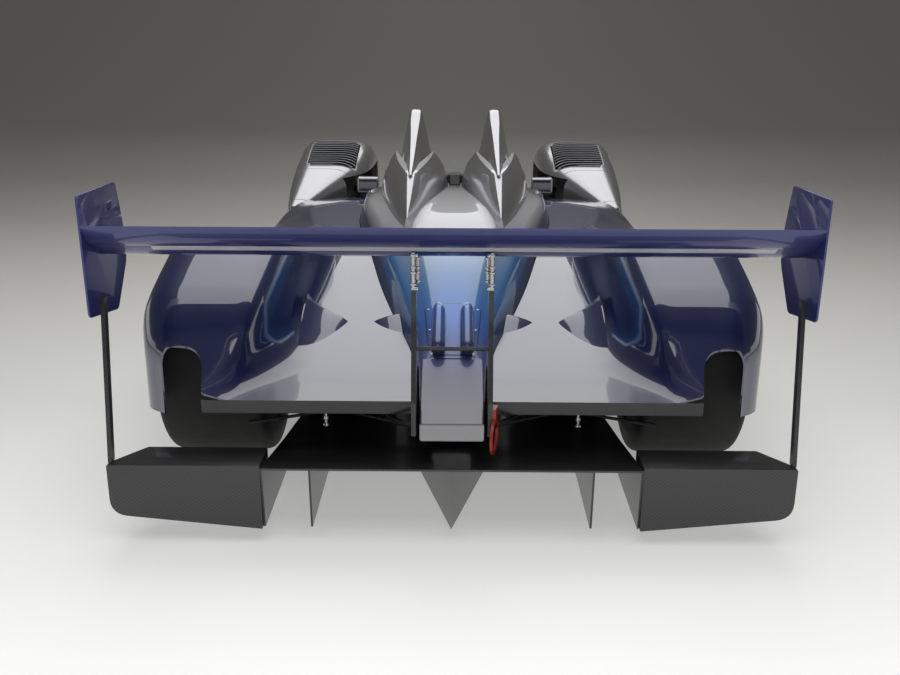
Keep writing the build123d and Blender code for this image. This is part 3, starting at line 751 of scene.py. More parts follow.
def make_finishes(paint):
    """Every material of the car, by its slot or its own short name."""
    MATERIALS["navy_paint"] = lacquer("navy_lacquer", paint.navy, 0.0, 0.4, 1.9).material
    MATERIALS["silver_paint"] = lacquer("silver_lacquer", paint.silver, 0.80, 0.30).material

    # The engine cover's colour runs by station from dark grey at the tail through lavender, deep blue, sky
    # blue and grey-blue to silver at the front; the lavender and blue tones are a painted reflection of the
    # wing's blue underside in the silver lacquer.
    cover = lacquer("cover_lacquer_and_reflection", paint.silver, 0.35, 0.42)
    x, y, z = cover.place()
    station = TAIL_Y - y
    run = cover.node(
        "ShaderNodeValToRGB",
        {
            "stops": [
                (0.00, (0.06, 0.06, 0.072)),
                (0.15, (0.065, 0.065, 0.13)),
                (0.21, tuple(paint.lavender_reflection)),
                (0.28, (0.035, 0.13, 0.45)),
                (0.35, (0.035, 0.15, 0.43)),
                (0.43, tuple(paint.sky_reflection)),
                (0.51, (0.16, 0.26, 0.43)),
                (0.63, (0.34, 0.36, 0.41)),
                (0.76, tuple(paint.silver)),
            ]
        },
        station / 2.0,
    ).outputs[0]
    # Painted reflection: teal on the cover's shoulders.
    edge = (abs(x) - (0.06 + station * 0.115)) / 0.05
    reach = (1 - abs(station - 0.95) / 0.62).clamped() * 1.6
    shoulder = (edge.clamped() * reach.clamped()).clamped()
    tinted = cover.blend(shoulder, run, tuple(paint.teal_reflection))
    tinted = cover.blend(((0.364 - z) * 200.0).clamped() * 0.8, tinted, tuple(paint.silver))
    wall = (((z - (0.40 + station * 0.135)) * -30.0).clamped() * ((station - 0.4) * 5.0).clamped()).clamped()
    tinted = cover.blend(wall * 0.9, tinted, tuple(paint.navy))
    beside = abs(x) - ((station - PANEL_REAR) * (PANEL_FLARE / PANEL_LENGTH) + PANEL_HALF)
    beyond = abs(station - (PANEL_REAR + PANEL_LENGTH / 2)) - PANEL_LENGTH / 2
    seam = abs(beside.most(beyond)) < 0.0022
    tinted = cover.blend(seam * 0.7, tinted, (0.01, 0.01, 0.015))
    flake = cover.noise(900, 1, 0.6) * 0.12 + 0.9
    cover.set("Base Color", cover.blend(flake.clamped(), (0, 0, 0), tinted))
    MATERIALS["cover_paint"] = cover.material

    tow = 0.004
    for name, gloss, depth in (("carbon", 0.32, 0.6), ("carbon_dull", 0.5, 0.5)):
        weave = Finish(name + "_twill", Metallic=0.0, Coat_Weight=0.6, Coat_Roughness=0.12)
        x, y, z = weave.place()
        across = (x + z * 0.7) / tow
        along = (y + z * 0.7) / tow
        over = ((across - across % 1.0) + (along - along % 1.0)) % 4.0 > 1.5
        ridge = over * abs(across % 1.0 - 0.5) + (1 - over) * abs(along % 1.0 - 0.5)
        tint = weave.blend(over, (0.010, 0.010, 0.011), (0.034, 0.034, 0.036))
        weave.set("Base Color", weave.blend(weave.noise(4, 3) * 0.5, tint, (0.020, 0.020, 0.021)))
        weave.set("Roughness", over * 0.12 + gloss)
        weave.bump(ridge * -1.0, depth, 0.0004)
        MATERIALS[name] = weave.material

    tyre = Finish("tyre_rubber", Roughness=0.8)
    wear = tyre.noise(35, 4, 0.6)
    tyre.set("Base Color", tyre.blend(wear, (0.006, 0.006, 0.006), (0.022, 0.021, 0.020)))
    tyre.set("Roughness", wear * 0.3 + 0.55)
    tyre.bump(tyre.noise(320, 2) + wear * 0.5, 0.35, 0.001)
    MATERIALS["tyre_rubber"] = tyre.material

    for name, low, high, rough in (
        ("wheel_alloy", (0.10, 0.10, 0.105), (0.16, 0.16, 0.165), 0.34),
        ("machined_alloy", (0.38, 0.38, 0.39), (0.50, 0.50, 0.51), 0.32),
        ("dark_steel", (0.025, 0.025, 0.028), (0.05, 0.05, 0.055), 0.38),
        ("brushed_steel", (0.45, 0.45, 0.46), (0.60, 0.60, 0.61), 0.26),
    ):
        mottled(name, low, high, (60, 3), (0.2, rough - 0.1), ((700, 1), 0.08, 0.0004), Metallic=0.95)

    for name, slot, low, high, size in (
        ("seat_fabric", "seat_fabric", (0.010, 0.010, 0.012), (0.030, 0.030, 0.034), 0.0016),
        ("harness_webbing", "webbing", (0.010, 0.014, 0.05), (0.02, 0.03, 0.10), 0.0022),
    ):
        cloth = Finish(name, Roughness=0.9, Sheen_Weight=0.25)
        x, y, z = cloth.place()
        rib = abs((x + z) / size % 1.0 - 0.5) + abs((y + z) / size % 1.0 - 0.5)
        cloth.set("Base Color", cloth.blend(rib.clamped(), low, high))
        cloth.bump(rib, 0.5, 0.0006)
        MATERIALS[slot] = cloth.material

    low, high = (0.008, 0.008, 0.009), (0.022, 0.022, 0.024)
    mottled("grip_rubber", low, high, (420, 2), bump=(None, 0.5, 0.0008), Roughness=0.7)
    low, high = (0.5, 0.53, 0.55), (0.6, 0.62, 0.64)
    clear = {"Roughness": 0.05, "IOR": 1.45, "Coat_Weight": 0.5}
    screen, haze = mottled("clear_screen", low, high, (6, 2), **clear)
    screen.set("Alpha", haze * 0.08 + 0.22)
    low, high = (0.05, 0.05, 0.055), (0.09, 0.09, 0.095)
    mottled("mirror_glass", low, high, (14, 3), (0.06, 0.03), Metallic=1.0)
    low, high = (0.30, 0.012, 0.008), (0.48, 0.025, 0.015)
    coat = {"Metallic": 0.1, "Coat_Weight": 0.4, "Coat_Roughness": 0.15}
    mottled("tow_red", low, high, (90, 4), (0.2, 0.3), **coat)

    MATERIALS["edge_grey"] = lacquer("edge_grey", (0.022, 0.023, 0.025), 0.0, 0.5, 1.35).material
    # Painted highlight: this light silver goes on strips along the louvre slats' top edges, where light
    # catches them, and also on the louvre's frame.
    MATERIALS["slat_highlight_and_rim_silver"] = lacquer("slat_highlight_and_rim_silver", (0.55, 0.55, 0.58), 0.1, 0.4).material

    wing = lacquer("wing_lacquer_and_reflection", paint.navy, 0.4, 0.42, 1.4)
    x, y, z = wing.place()
    station = TAIL_Y - y
    # Painted reflection: a pale band along the main plane's rear face stands in for the bright floor mirrored
    # in its curved underside; the band is not metallic.
    floor_reflection_band = (station > 0.0985) * (station < 0.119) * (z < 0.8705) * (abs(x + 0.03) < 0.87)
    painted_floor_reflection = wing.blend(floor_reflection_band, (0.050, 0.058, 0.240), (0.85, 0.86, 0.90))
    wing.set("Metallic", (1 - floor_reflection_band) * 0.4)
    wing.set("Base Color", wing.blend(wing.noise(900, 1) * 0.1 + 0.9, (0, 0, 0), painted_floor_reflection))
    MATERIALS["wing_paint_and_reflection"] = wing.material


def dress(finish, *nodes):
    """Gives CAD nodes a material."""
    for name in nodes:
        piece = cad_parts[name]
        piece.data.materials.clear()
        piece.data.materials.append(MATERIALS[finish])


# Pieces


def cut_arch(piece, inner, station, height, radius):
    """Cuts a round wheel arch through the outer wall of a left piece."""
    start, end = (inner, y_at(station), height), (1.05, y_at(station), height)
    cut_away(piece, bar("cutter", start, end, radius, 96))


def rear_cut(piece):
    """Cuts the tail edge, the notch over each rear tyre and the round wheel arch."""
    notch = [
        (0.0, 0.05, 0),
        (0.0, TAIL_EDGE, 0),
        (0.750, TAIL_EDGE, 0.01),
        (0.772, 0.292, 0.10),
        (0.878, 0.300, 0.02),
        (0.905, 0.290, 0.0),
        (1.03, 0.290, 0),
        (1.03, 0.05, 0),
    ]
    cutter = prism("cutter", closed_path(notch), plan(-0.1), (0, 0, 1.2))
    cut_away(piece, cutter)
    cut_arch(piece, 0.90, REAR_AXLE, REAR_HUB_HEIGHT, bpy.context.scene.car_body.arch_radius)


def both(piece, name, finish, replaces=(), body="chassis"):
    """Settles a left piece and its mirrored twin; the name and nodes get _left or _right."""
    twin = copy_of(piece, name, MIRROR)
    for side, made in (("left", piece), ("right", twin)):
        nodes = [node.replace("SIDE", side) for node in replaces]
        settle(made, name + "_" + side, finish, body.replace("SIDE", side), nodes)
    return piece, twin


class CAR_OT_rear_body(Operator):
    """Rear decks with their fenders, the trailing lip and the teardrops over the axle"""

    bl_idname = "car.rear_body"
    bl_label = "Rear body"

    def execute(self, context):
        skin = context.scene.car_body.skin
        body = shell("rear_body", 96, 54, sections(body_section, 0.155, BODY_JOINT - 0.0015), skin)
        rear_cut(body)
        smooth(body, 40)
        both(body, "rear_body", "navy_paint", ("rear_deck_SIDE", "rear_fender_SIDE"))

        low, high = (0.119, y_at(TAIL_EDGE + 0.004), 0.342), (0.752, y_at(TAIL_EDGE - 0.0005), 0.3835)
        lip = brick("lip", low, high, 0.0015)
        both(lip, "deck_lip", "edge_grey")

        for name, root, tip, length, rise in (
            ("deck_teardrop", 0.610, 0.372, 0.330, 0.075),
            ("spine_teardrop", 0.150, 0.286, 0.110, 0.035),
        ):

            def place(along, across, root=root, tip=tip, length=length, rise=rise):
                fullness = math.sin(along * math.pi / 2) ** 0.8
                x = tip + (root - tip) * along
                turn = across * 2 - 1
                station = 0.79 + turn * length * fullness * (1.0 if turn < 0 else 0.35)
                dome = 1 - (1 - (1 - abs(turn)) ** 1.1) ** 1.4
                base = height_at(body_section(station), x) if 0.3 < x < 0.52 else deck_height(station)
                return (x, y_at(station), base - 0.003 + rise * fullness * dome)

            tear = shell(name, 30, 28, place, 0.002)
            smooth(tear, 50)
            both(tear, name, "navy_paint")
        return {"FINISHED"}


class CAR_OT_sidepods(Operator):
    """Sidepods with the body sides between the wheels"""

    bl_idname = "car.sidepods"
    bl_label = "Sidepods"

    def execute(self, context):
        skin = context.scene.car_body.skin
        pod = shell("sidepod", 80, 54, sections(body_section, BODY_JOINT + 0.0015, 3.100), skin)
        smooth(pod, 40)
        both(pod, "sidepod_skin", "navy_paint", ("sidepod_SIDE",))
        return {"FINISHED"}


class CAR_OT_engine_cover(Operator):
    """Engine cover with its access panel, the two tail bullets and their fasteners"""

    bl_idname = "car.engine_cover"
    bl_label = "Engine cover"

    def execute(self, context):
        skin = context.scene.car_body.skin
        cover = shell("engine_cover_skin", 90, 70, sections(cover_section, 0.381, 2.398), skin)
        smooth(cover, 40)
        settle(cover, "engine_cover_skin", "cover_paint", replaces=("engine_cover",))

        def plate(along, across):
            station = PANEL_REAR + PANEL_LENGTH * along
            half = PANEL_HALF + PANEL_FLARE * along
            x = -half + 2 * half * across
            return (x, y_at(station), height_at(cover_section(station), x) + 0.0016)

        panel = shell("access_panel", 24, 16, plate, 0.0016)
        settle(panel, "access_panel", "cover_paint")

        bullets = []
        for x in (-0.047, 0.047):
            deselect()
            bpy.ops.mesh.primitive_uv_sphere_add(segments=32, ring_count=20, radius=0.0235)
            bullet = bpy.context.object
            for vertex in bullet.data.vertices:
                co = vertex.co
                if co.y > 0:
                    co.y += 0.125
                else:
                    co.y = co.y * 3.2 - 0.05
                    co.z *= 1 - 0.5 * ease(0.05, 0.13, -co.y)
                co.z *= 1.25
            recalculate(bullet)
            slope = math.atan2(0.614 - 0.448, 0.47)
            bullet.data.transform(
                Matrix.Translation((x, y_at(0.522), 0.519)) @ Matrix.Rotation(-slope, 4, "X")
            )
            smooth(bullet, 60)
            bullets.append(bullet)
        settle(join(bullets), "tail_bullets", "cover_paint", replaces=("tail_blisters",))

        pins = []
        for along in (0.04, 0.5, 0.96):
            for across in (0.06, 0.94):
                x, y, z = plate(along, across)
                pins.append(bar("pin", (x, y, z - 0.003), (x, y, z + 0.0012), 0.0055, 20))
        settle(join(pins), "panel_fasteners", "brushed_steel")
        return {"FINISHED"}


class CAR_OT_hoop_fairings(Operator):
    """Two roll hoop fairings: a fin that rises out of a notched shell"""

    bl_idname = "car.hoop_fairings"
    bl_label = "Hoop fairings"

    def execute(self, context):
        def shell_section(station):
            half, ridge = row_at(HOOP_SHELL, station)
            bow = [Vector((-half, 0.60))]
            for step in range(49):
                share = math.sin((step / 24 - 1) * math.pi / 2)
                side = max(abs(share) - 0.13, 0) / 0.87
                rise = (ridge - HOOP_FOOT) * (1 - side**1.08) ** 0.40
                bow.append(Vector((half * share, HOOP_FOOT + rise)))
            return [*bow, Vector((half, 0.60)), bow[0]]

        hood = hull("hood", 60, 51, sections(shell_section, 1.385, HOOP_FRONT))
        petal = [(1.70, 0.832), (2.19, 0.872), (2.385, 0.64), (2.60, 0.64), (2.60, 1.2), (1.70, 1.2)]
        cut_away(hood, side_plate("cutter", [(*point, 0) for point in petal], -0.3, 0.3))
        slot = [(0, 1.80), (0.086, 2.20), (0.086, 2.60), (-0.086, 2.60), (-0.086, 2.20)]
        cut_away(hood, prism("cutter", slot, plan(0.70), (0, 0, 0.6)))
        smooth(hood, 40)

        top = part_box("roll_hoop_fairings")[1].z - 0.0005

        def fin_section(station):
            foot, half, share = row_at(HOOP_FIN, station)
            high = FIN_SHOULDER + (top - FIN_SHOULDER) * share
            crown = half * (0.3 + 0.65 * ease(2.22, 2.36, station))
            flank = [(foot, 0.66, 0), (foot * 0.97, 0.80, 0.1), (half, high, crown)]
            return rounded_path([(-x, z, r) for x, z, r in flank] + flank[::-1])

        fin = shell("fin", 56, 37, sections(fin_section, 1.70, HOOP_FRONT), 0.004)
        smooth(fin, 40)
        for part, name, replaced in (
            (hood, "hoop_shells", ()),
            (fin, "hoop_fins", ("roll_hoop_fairings",)),
        ):
            part.data.transform(Matrix.Translation((HOOP_X, 0, 0)))
            pair = join([part, copy_of(part, name, MIRROR)])
            settle(pair, name, "silver_paint", replaces=replaced)
        low, high = (-0.028, y_at(2.33), 0.70), (0.028, y_at(2.26), 0.755)
        hub = brick("light_box", low, high, 0.006)
        settle(hub, "rear_light_box", "carbon_dull")
        return {"FINISHED"}


class CAR_OT_front_fenders(Operator):
    """Front fenders with their curved louvre slats"""

    bl_idname = "car.front_fenders"
    bl_label = "Front fenders"

    def execute(self, context):
        settings = context.scene.car_body
        fender = shell("fender", 110, 42, sections(fender_section, 2.790, 4.540), settings.skin)
        cut_away(fender, brick("cutter", (0.40, y_at(4.035), -0.1), (0.82, y_at(3.205), 0.59), 0))
        cut_arch(fender, 0.80, FRONT_AXLE, FRONT_HUB_HEIGHT, 0.362)
        window = [
            (0.590, LOUVRE_REAR, 0.04),
            (0.584, LOUVRE_FRONT, 0.06),
            (0.888, LOUVRE_FRONT, 0.06),
            (0.882, LOUVRE_REAR, 0.04),
        ]
        cut_away(fender, prism("cutter", closed_path(window), plan(0.5), (0, 0, 0.5)))
        for station in (3.255, 2.865):
            low, high = (0.40, y_at(station + 0.004), 0.30), (1.05, y_at(station), 1.0)
            cut_away(fender, brick("cutter", low, high, 0))
        smooth(fender, 40)
        both(fender, "fender_skin", "silver_paint", ("front_fender_SIDE",))

        pitch = (LOUVRE_FRONT - LOUVRE_REAR) / settings.slat_count

        # Painted highlight: a light strip lying on each slat's top edge, where light catches it.
        def edge_place(place, along, across):
            x, y, z = place(along, 0)
            return (x, y + 0.0012 - 0.0044 * across, z + 0.0012)

        slats = []
        edges = []
        for index in range(settings.slat_count):
            start = LOUVRE_REAR + index * pitch

            def place(along, across, start=start):
                station = start + pitch * 0.80 * across
                inset = 0.006 if 0 < index < settings.slat_count - 1 else 0.02
                x = 0.590 + inset + (0.293 - 2 * inset) * along
                lift = 0.012 - 0.026 * across
                return (x, y_at(station), height_at(fender_section(station), x) + lift)

            slats.append(shell("slat", 26, 4, place, 0.0035))
            edges.append(shell("edge", 26, 1, partial(edge_place, place), 0.0030))
        rim_points = closed_path(window, 8)
        rim = []
        for offset in (0.0, 0.010):
            ring = []
            for point in rim_points:
                middle = Vector((0.737, 3.511))
                ring.append(point + (point - middle).normalized() * (offset - 0.006))
            rim.append(ring)

        def rim_place(along, across):
            ring = [first.lerp(second, across) for first, second in zip(*rim)]
            ring.append(ring[0])
            point = point_on(ring, along)
            station = point.y
            return (point.x, y_at(station), height_at(fender_section(station), point.x) + 0.0015)

        frame_ring = shell("rim", 72, 2, rim_place, 0.003)
        recalculate(frame_ring)
        for parts, name, finish, replaced in (
            (slats, "louvre_slats", "edge_grey", ("louvre_panels",)),
            ([*edges, frame_ring], "louvre_edges", "slat_highlight_and_rim_silver", ()),
        ):
            panel = join(parts)
            smooth(panel, 40)
            twin = copy_of(panel, "twin", MIRROR)
            settle(join([panel, twin]), name, finish, replaces=replaced)

        return {"FINISHED"}


class CAR_OT_wing(Operator):
    """Rear wing: main plane, flap, end plates and the adjusters on the pylons"""

    bl_idname = "car.wing"
    bl_label = "Rear wing"

    def execute(self, context):
        for name, shape, node in (("main_plane", MAIN_PLANE, "wing_main_plane"), ("flap", FLAP, "wing_flap")):
            nose, upper, rear, lower = shape
            bottom = (rear[0] + 0.0005, rear[1] - 0.003)
            loop = arc_through(nose, upper, rear, 24) + arc_through(bottom, lower, nose, 24)[:-1]
            plane = prism(
                name, loop, lambda a, b: (-WING_HALF, y_at(a), b), (2 * WING_HALF, 0, 0)
            )
            smooth(plane, 40)
            settle(plane, "wing_" + name, "wing_paint_and_reflection", replaces=(node,))
        plates = []
        for low, high in ((WING_HALF, HALF_WIDTH), (-HALF_WIDTH, -WING_HALF)):
            plates.append(side_plate("plate", ENDPLATE, low, high, 0.0022))
        plates = join(plates)
        smooth(plates, 30)
        settle(plates, "wing_end_plates", "wing_paint_and_reflection", replaces=("wing_endplates",))

        parts = []
        for side, _ in SIDES:
            x = side * 0.111
            for offset, station, low, high in ((0.0, 0.113, 0.752, 0.852), (0.012, 0.128, 0.760, 0.838)):
                at = x - side * offset
                parts.append(post(at, station, low, high, 0.0055, 12))
                for share in (0.08, 0.42, 0.58, 0.92):
                    z = low + (high - low) * share
                    parts.append(post(at, station, z - 0.004, z + 0.004, 0.0085, 6))
            for station, z, radius in ((0.112, 0.748, 0.0065), (0.118, 0.842, 0.006)):
                start, end = (x - side * 0.014, y_at(station), z), (x + side * 0.006, y_at(station), z)
                parts.append(bar("bolt", start, end, radius, 16))
        settle(join(parts), "pylon_adjusters", "brushed_steel")
        return {"FINISHED"}


class CAR_OT_diffuser(Operator):
    """End boxes of the diffuser, the tie rods under the deck and the deck's release pins"""

    bl_idname = "car.diffuser"
    bl_label = "Diffuser"

    def execute(self, context):
        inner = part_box("rear_diffuser")[1].x + 0.0004
        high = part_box("diffuser_end_boxes")[1].z
        outline = [
            (inner, 0.046, 0.004),
            (WING_HALF, 0.090, 0.055),
            (WING_HALF, high, 0.006),
            (inner, high, 0.004),
        ]
        box = prism("box", closed_path(outline, 6), lambda a, b: (a, y_at(0.132), b), (0, 0.132, 0))
        corner = [
            (1.03, 0.012, 0),
            (WING_HALF, 0.018, 0.05),
            (WING_HALF - 0.090, 0.140, 0.0),
            (1.03, 0.140, 0),
        ]
        cut_away(box, prism("cutter", closed_path(corner, 8), plan(-0.1), (0, 0, 0.6)))
        rounding = {"width": 0.007, "segments": 4, "angle_limit": math.radians(50)}
        apply_modifier(box, "BEVEL", limit_method="ANGLE", **rounding)
        smooth(box, 40)
        twin = copy_of(box, "twin", MIRROR)
        settle(join([box, twin]), "end_boxes", "carbon", replaces=("diffuser_end_boxes",))

        rods = []
        for side, _ in SIDES:
            for start, end, radius in (
                ((0.12, 0.10, 0.335), (0.34, 0.26, 0.318), 0.006),
                ((0.12, 0.12, 0.325), (0.30, 0.34, 0.315), 0.005),
                ((0.62, 0.20, 0.300), (0.36, 0.26, 0.318), 0.005),
            ):
                ends = [(side * x, y_at(station), z) for x, station, z in (start, end)]
                rods.append(bar("rod", *ends, radius))
        settle(join(rods), "tie_rods", "dark_steel")
        pins = []
        for side, _ in SIDES:
            for low, high, radius, count in (
                (0.300, 0.346, 0.0045, 16),
                (0.298, 0.306, 0.010, 20),
                (0.318, 0.330, 0.008, 20),
            ):
                pins.append(post(side * 0.38, 0.185, low, high, radius, count))
        settle(join(pins), "release_pins", "brushed_steel")
        return {"FINISHED"}


class CAR_OT_wheels(Operator):
    """Tyres, spoked rims with their centre nuts, and brake discs"""

    bl_idname = "car.wheels"
    bl_label = "Wheels"

    def execute(self, context):
        spokes = context.scene.car_body.spoke_count
        for end in ("front", "rear"):
            low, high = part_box(end + "_tyre_left")
            middle = (low + high) / 2
            half = (high.x - low.x) / 2
            outer = (high.z - low.z) / 2
            bead = 0.2285
            wall = bead + (outer - bead) * 0.45
            outline = [
                (-half + 0.013, bead, 0),
                (-half + 0.001, wall, 0.05),
                (-half + 0.005, outer - 0.002, 0.034),
                (0, outer + 0.0002, 0),
                (half - 0.005, outer - 0.002, 0.034),
                (half - 0.001, wall, 0.05),
                (half - 0.013, bead, 0),
                (half - 0.026, bead, 0),
                (half - 0.030, outer - 0.022, 0.02),
                (-half + 0.030, outer - 0.022, 0.02),
                (-half + 0.026, bead, 0),
            ]
            tyre = lathe("tyre", closed_path(outline, 7), 96, middle)
            for side in (-1, 1):
                ring = [
                    (side * (half - 0.0060), wall - 0.038, 0),
                    (side * (half - 0.0034), wall - 0.034, 0),
                    (side * (half - 0.0034), wall - 0.030, 0),
                    (side * (half - 0.0080), wall - 0.026, 0),
                ]
                bead_ring = lathe("ring", [tuple(p[:2]) for p in ring], 96, middle)
                tyre = join([tyre, bead_ring])
            smooth(tyre, 40)
            wheel = end + "_wheel_SIDE"
            both(tyre, end + "_slick", "tyre_rubber", (end + "_tyre_SIDE",), wheel)

            width = half - 0.014
            bead -= 0.0004
            barrel = [
                (-width, bead, 0),
                (width, bead, 0),
                (width, bead - 0.007, 0.003),
                (width - 0.012, bead - 0.012, 0.004),
                (width - 0.034, bead - 0.024, 0.01),
                (-width + 0.02, bead - 0.024, 0.008),
                (-width, bead - 0.012, 0.003),
            ]
            parts = [lathe("barrel", closed_path(barrel, 4), 96)]
            face = width - 0.060
            hub = [
                (face - 0.02, 0.025, 0), (face - 0.02, 0.055, 0.004), (face + 0.022, 0.055, 0.008),
                (face + 0.030, 0.043, 0.006), (face + 0.030, 0.030, 0), (face + 0.012, 0.025, 0),
            ]
            parts.append(lathe("hub", closed_path(hub, 4), 64))
            for index in range(spokes):
                low_end, high_end = (face - 0.006, -0.013, 0.040), (face + 0.018, 0.013, bead - 0.018)
                spoke = brick("spoke", low_end, high_end, 0.004, 2)
                for vertex in spoke.data.vertices:
                    rise = (vertex.co.z - 0.040) / (bead - 0.058)
                    vertex.co.y *= 1.25 - 0.5 * rise
                    vertex.co.x += 0.030 * rise * rise
                spoke.data.transform(Matrix.Rotation(math.tau * index / spokes, 4, "X"))
                parts.append(spoke)
            rim = join(parts)
            rim.data.transform(Matrix.Translation(middle))
            smooth(rim, 35)
            both(rim, end + "_wheel_rim", "wheel_alloy", (end + "_rim_SIDE",), wheel)

            nut = [
                (face + 0.013, 0.026, 0), (face + 0.0305, 0.041, 0.0), (face + 0.050, 0.036, 0.006),
                (face + 0.054, 0.022, 0.003), (face + 0.048, 0.012, 0), (face + 0.013, 0.012, 0),
            ]
            cap = lathe("nut", closed_path(nut, 4), 48, middle)
            smooth(cap, 35)
            tint = "tow_red" if end == "rear" else "navy_paint"
            both(cap, end + "_centre_nut", tint, (), wheel)

            back, front = face - 0.075, face - 0.043
            disc = [(back, 0.085), (back, 0.182), (front, 0.182), (front, 0.085)]
            plate = lathe("disc", disc, 72, middle)
            apply_modifier(plate, "BEVEL", width=0.0015, segments=2, limit_method="ANGLE")
            smooth(plate, 35)
            both(plate, end + "_brake_disc", "dark_steel", (), wheel)
        return {"FINISHED"}


class CAR_OT_cockpit(Operator):
    """Moulded seat, harness and mirrors"""

    bl_idname = "car.cockpit"
    bl_label = "Cockpit"

    def execute(self, context):
        line = [Vector(point) for point in SEAT_LINE]

        def seat(along, across):
            station, height = point_on(line, along)
            turn = abs(across * 2 - 1)
            bolster = 0.075 * ease(0.55, 1.0, turn) * (0.7 + 0.3 * math.sin(along * math.pi))
            forward = bolster * ease(0.35, 0.8, along)
            up = bolster * (1 - 0.75 * ease(0.35, 0.8, along))
            x = SEAT_X + (across * 2 - 1) * (0.112 - 0.016 * ease(0.7, 1.0, along))
            return (x, y_at(station + forward), height + up)

        shape = face_up(surface("seat", 44, 32, seat))
        apply_modifier(shape, "SOLIDIFY", thickness=0.014, offset=-1)
        apply_modifier(shape, "BEVEL", width=0.004, segments=2, limit_method="ANGLE")
        smooth(shape, 60)
        settle(shape, "moulded_seat", "seat_fabric", replaces=("driver_seat",))

        belts = []
        for offset in (-0.045, 0.045):

            def strap(along, across, offset=offset):
                station, height = point_on(line, 0.98 - 0.62 * along)
                x = SEAT_X + offset * (1 - 0.3 * along) + (across - 0.5) * 0.045
                return (x, y_at(station + 0.012), height + 0.010)

            belts.append(shell("strap", 24, 4, strap, 0.003))
        settle(join(belts), "harness", "webbing")
        buckle = bar("buckle", (SEAT_X, y_at(2.70), 0.225), (SEAT_X, y_at(2.712), 0.243), 0.026, 32)
        settle(buckle, "harness_buckle", "brushed_steel")

        mirrors = []
        glasses = []
        for side, _ in SIDES:
            low, high = (0.420, y_at(2.942), 0.564), (0.536, y_at(2.858), 0.648)
            pod = brick("mirror", low, high, 0.0, 1)
            edit(pod, ("subdivide", {"number_cuts": 5}))
            centre = Vector((0.478, y_at(2.9), 0.606))
            for vertex in pod.data.vertices:
                p = vertex.co - centre
                ahead = ease(0.0, 0.042, -p.y)
                p.x *= 1 - 0.45 * ahead
                p.z *= 1 - 0.45 * ahead
                vertex.co = centre + p
            apply_modifier(pod, "BEVEL", width=0.010, segments=3, limit_method="ANGLE")
            smooth(pod, 50)
            stalk = bar("stalk", (0.470, y_at(2.900), 0.47), (0.470, y_at(2.900), 0.585), 0.008, 20)
            pod = join([pod, stalk])
            glass = brick("glass", (0.430, y_at(2.8578), 0.574), (0.526, y_at(2.8560), 0.638), 0.0006, 1)
            if side == RIGHT:
                for piece in (pod, glass):
                    piece.data.transform(MIRROR)
                    piece.data.flip_normals()
            mirrors.append(pod)
            glasses.append(glass)
        settle(join(mirrors), "mirror_shells", "silver_paint", replaces=("mirrors",))
        settle(join(glasses), "mirror_glasses", "mirror_glass")
        return {"FINISHED"}


class CAR_OT_dress_frame(Operator):
    """Materials for the CAD pieces that stay"""

    bl_idname = "car.dress_frame"
    bl_label = "Dress the remaining pieces"

    def execute(self, context):
        dress("carbon", "rear_diffuser", "front_splitter", "floor_pan")
        dress("carbon_dull", "monocoque_tub", "wing_pylons", "wing_stays", "pylon_crossbar")
        dress("cover_paint", "tail_box")
        dress("silver_paint", "nose_cone")
        dress("machined_alloy", "front_upright_left", "front_upright_right", "rear_uprights")
        dress("machined_alloy", "gearbox_case", "engine_block", "steering_column")
        dress("dark_steel", "front_wishbones", "rear_wishbones")
        dress("grip_rubber", "steering_wheel")
        dress("clear_screen", "windscreen", "headlamps")
        dress("tow_red", "tow_ring")
        return {"FINISHED"}


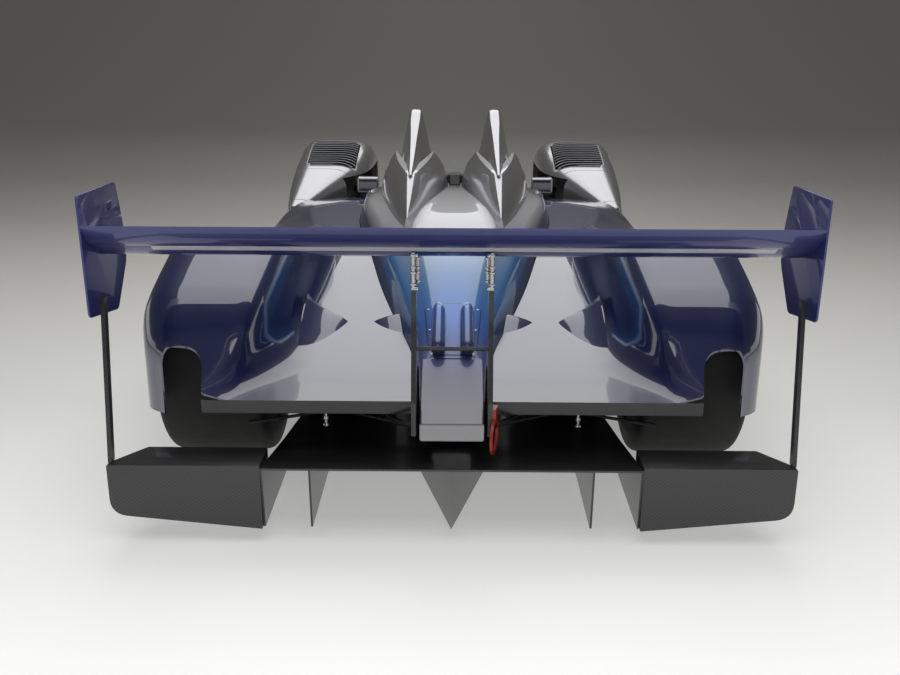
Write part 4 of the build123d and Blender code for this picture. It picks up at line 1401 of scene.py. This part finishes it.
class CAR_OT_studio(Operator):
    """Floor, backdrop, soft lights and the camera"""

    bl_idname = "car.studio"
    bl_label = "Studio"

    def execute(self, context):
        studio = context.scene.car_studio
        scene = context.scene
        scene.view_settings.view_transform = "Standard"

        paper = Finish("studio_paper", Roughness=0.55)
        x, y, z = paper.place()
        # Painted shade: the paper darkens from near the car towards the back and up the sweep, standing in
        # for the light falling off across the studio.
        shade = paper.node(
            "ShaderNodeValToRGB",
            {
                "stops": [
                    (0.00, (0.86, 0.86, 0.85)),
                    (0.08, (0.68, 0.68, 0.66)),
                    (0.16, (0.51, 0.51, 0.49)),
                    (0.36, (0.32, 0.31, 0.29)),
                    (0.48, (0.21, 0.20, 0.19)),
                    (0.65, (0.143, 0.138, 0.13)),
                    (1.00, (0.115, 0.11, 0.10)),
                ]
            },
            ((3.0 - y) / 12.0 + z / 6.0 + paper.noise(0.6, 2) * 0.01).clamped(),
        ).outputs[0]
        paper.set("Base Color", shade)
        # Painted glow: towards the camera and in reflections the paper also gives off 55 % of its own colour,
        # so it shines brighter than the lamps light it and shadows on it are weaker.
        rays = paper.node("ShaderNodeLightPath", {})
        seen = Value(paper, rays.outputs["Is Camera Ray"]) + Value(paper, rays.outputs["Is Glossy Ray"])
        paper.set("Emission Color", paper.blend(seen.clamped() * 0.55, (0, 0, 0), shade))
        paper.shader.inputs["Emission Strength"].default_value = 1.0
        MATERIALS["studio_paper"] = paper.material

        def sweep(along, across):
            run = along * 45.0
            x = (across - 0.5) * 60.0
            if run < 35.0:
                return (x, 26.0 - run, 0.0)
            bend = min((run - 35.0) / 4.5, 1.0) * math.pi / 2
            rest = max(run - 39.5, 0.0)
            return (x, -9.0 - 3.0 * math.sin(bend), 3.0 - 3.0 * math.cos(bend) + rest * 1.2)

        floor = face_up(surface("studio_floor", 180, 8, sweep))
        smooth(floor, 60)
        floor.data.materials.append(MATERIALS["studio_paper"])

        def lamp(name, place, aim, size, power):
            data = bpy.data.lights.new(name, "AREA")
            data.shape = "RECTANGLE"
            data.size, data.size_y = size
            data.energy = power
            made = bpy.data.objects.new(name, data)
            scene.collection.objects.link(made)
            made.location = place
            made.rotation_euler = (Vector(aim) - Vector(place)).to_track_quat("-Z", "Y").to_euler()

        lamp("ceiling_light", (0, -1.7, 4.2), (0, -1.7, 0), (4.4, 13.8), studio.ceiling)
        lamp("tail_light", (0, 9.5, 3.4), (0, 1.5, 0.3), (5.0, 1.5), 75)
        for side, name in SIDES:
            lamp("side_light_" + name, (side * 7.5, 0.5, 1.5), (0, 0.5, 0.5), (8.0, 1.8), 40)

        world = bpy.data.worlds.new("studio_air")
        scene.world = world
        world.use_nodes = True
        world.node_tree.nodes["Background"].inputs["Color"].default_value = (0.5, 0.5, 0.51, 1)
        world.node_tree.nodes["Background"].inputs["Strength"].default_value = 0.15

        data = bpy.data.cameras.new("photo_camera")
        data.lens = studio.lens
        data.sensor_width = 36.0
        camera = bpy.data.objects.new("photo_camera", data)
        scene.collection.objects.link(camera)
        look = Matrix.Rotation(math.pi + studio.camera_turn, 4, "Z") @ Matrix.Rotation(
            math.pi / 2 - studio.camera_down, 4, "X"
        ) @ Matrix.Rotation(studio.camera_roll, 4, "Z")
        place = Vector((-studio.camera_side, TAIL_Y + studio.camera_back, studio.camera_height))
        camera.matrix_world = Matrix.Translation(place) @ look
        scene.camera = camera
        return {"FINISHED"}


STEPS = (
    CAR_OT_rear_body,
    CAR_OT_sidepods,
    CAR_OT_engine_cover,
    CAR_OT_hoop_fairings,
    CAR_OT_front_fenders,
    CAR_OT_wing,
    CAR_OT_diffuser,
    CAR_OT_wheels,
    CAR_OT_cockpit,
    CAR_OT_dress_frame,
    CAR_OT_studio,
)


class CAR_PT_tools(Panel):
    """Lists the car's pieces and settings"""

    bl_idname = "CAR_PT_tools"
    bl_label = "Race Car"
    bl_space_type = "VIEW_3D"
    bl_region_type = "UI"
    bl_category = "Race Car"

    def draw(self, context):
        for group in (context.scene.car_body, context.scene.car_paint, context.scene.car_studio):
            box = self.layout.box()
            for key in group.__annotations__:
                box.prop(group, key)
        for step in STEPS:
            self.layout.operator(step.bl_idname)


GROUPS = {"car_body": CarBody, "car_paint": CarPaint, "car_studio": CarStudio}


def register():
    for item in (*GROUPS.values(), *STEPS, CAR_PT_tools):
        bpy.utils.register_class(item)
    for key, group in GROUPS.items():
        setattr(bpy.types.Scene, key, PointerProperty(type=group))


def unregister():
    for key in GROUPS:
        delattr(bpy.types.Scene, key)
    for item in reversed((*GROUPS.values(), *STEPS, CAR_PT_tools)):
        bpy.utils.unregister_class(item)


def main():
    register()
    make_finishes(bpy.context.scene.car_paint)
    for step in STEPS:
        family, action = step.bl_idname.split(".")
        getattr(getattr(bpy.ops, family), action)()


if __name__ == "__main__":
    main()
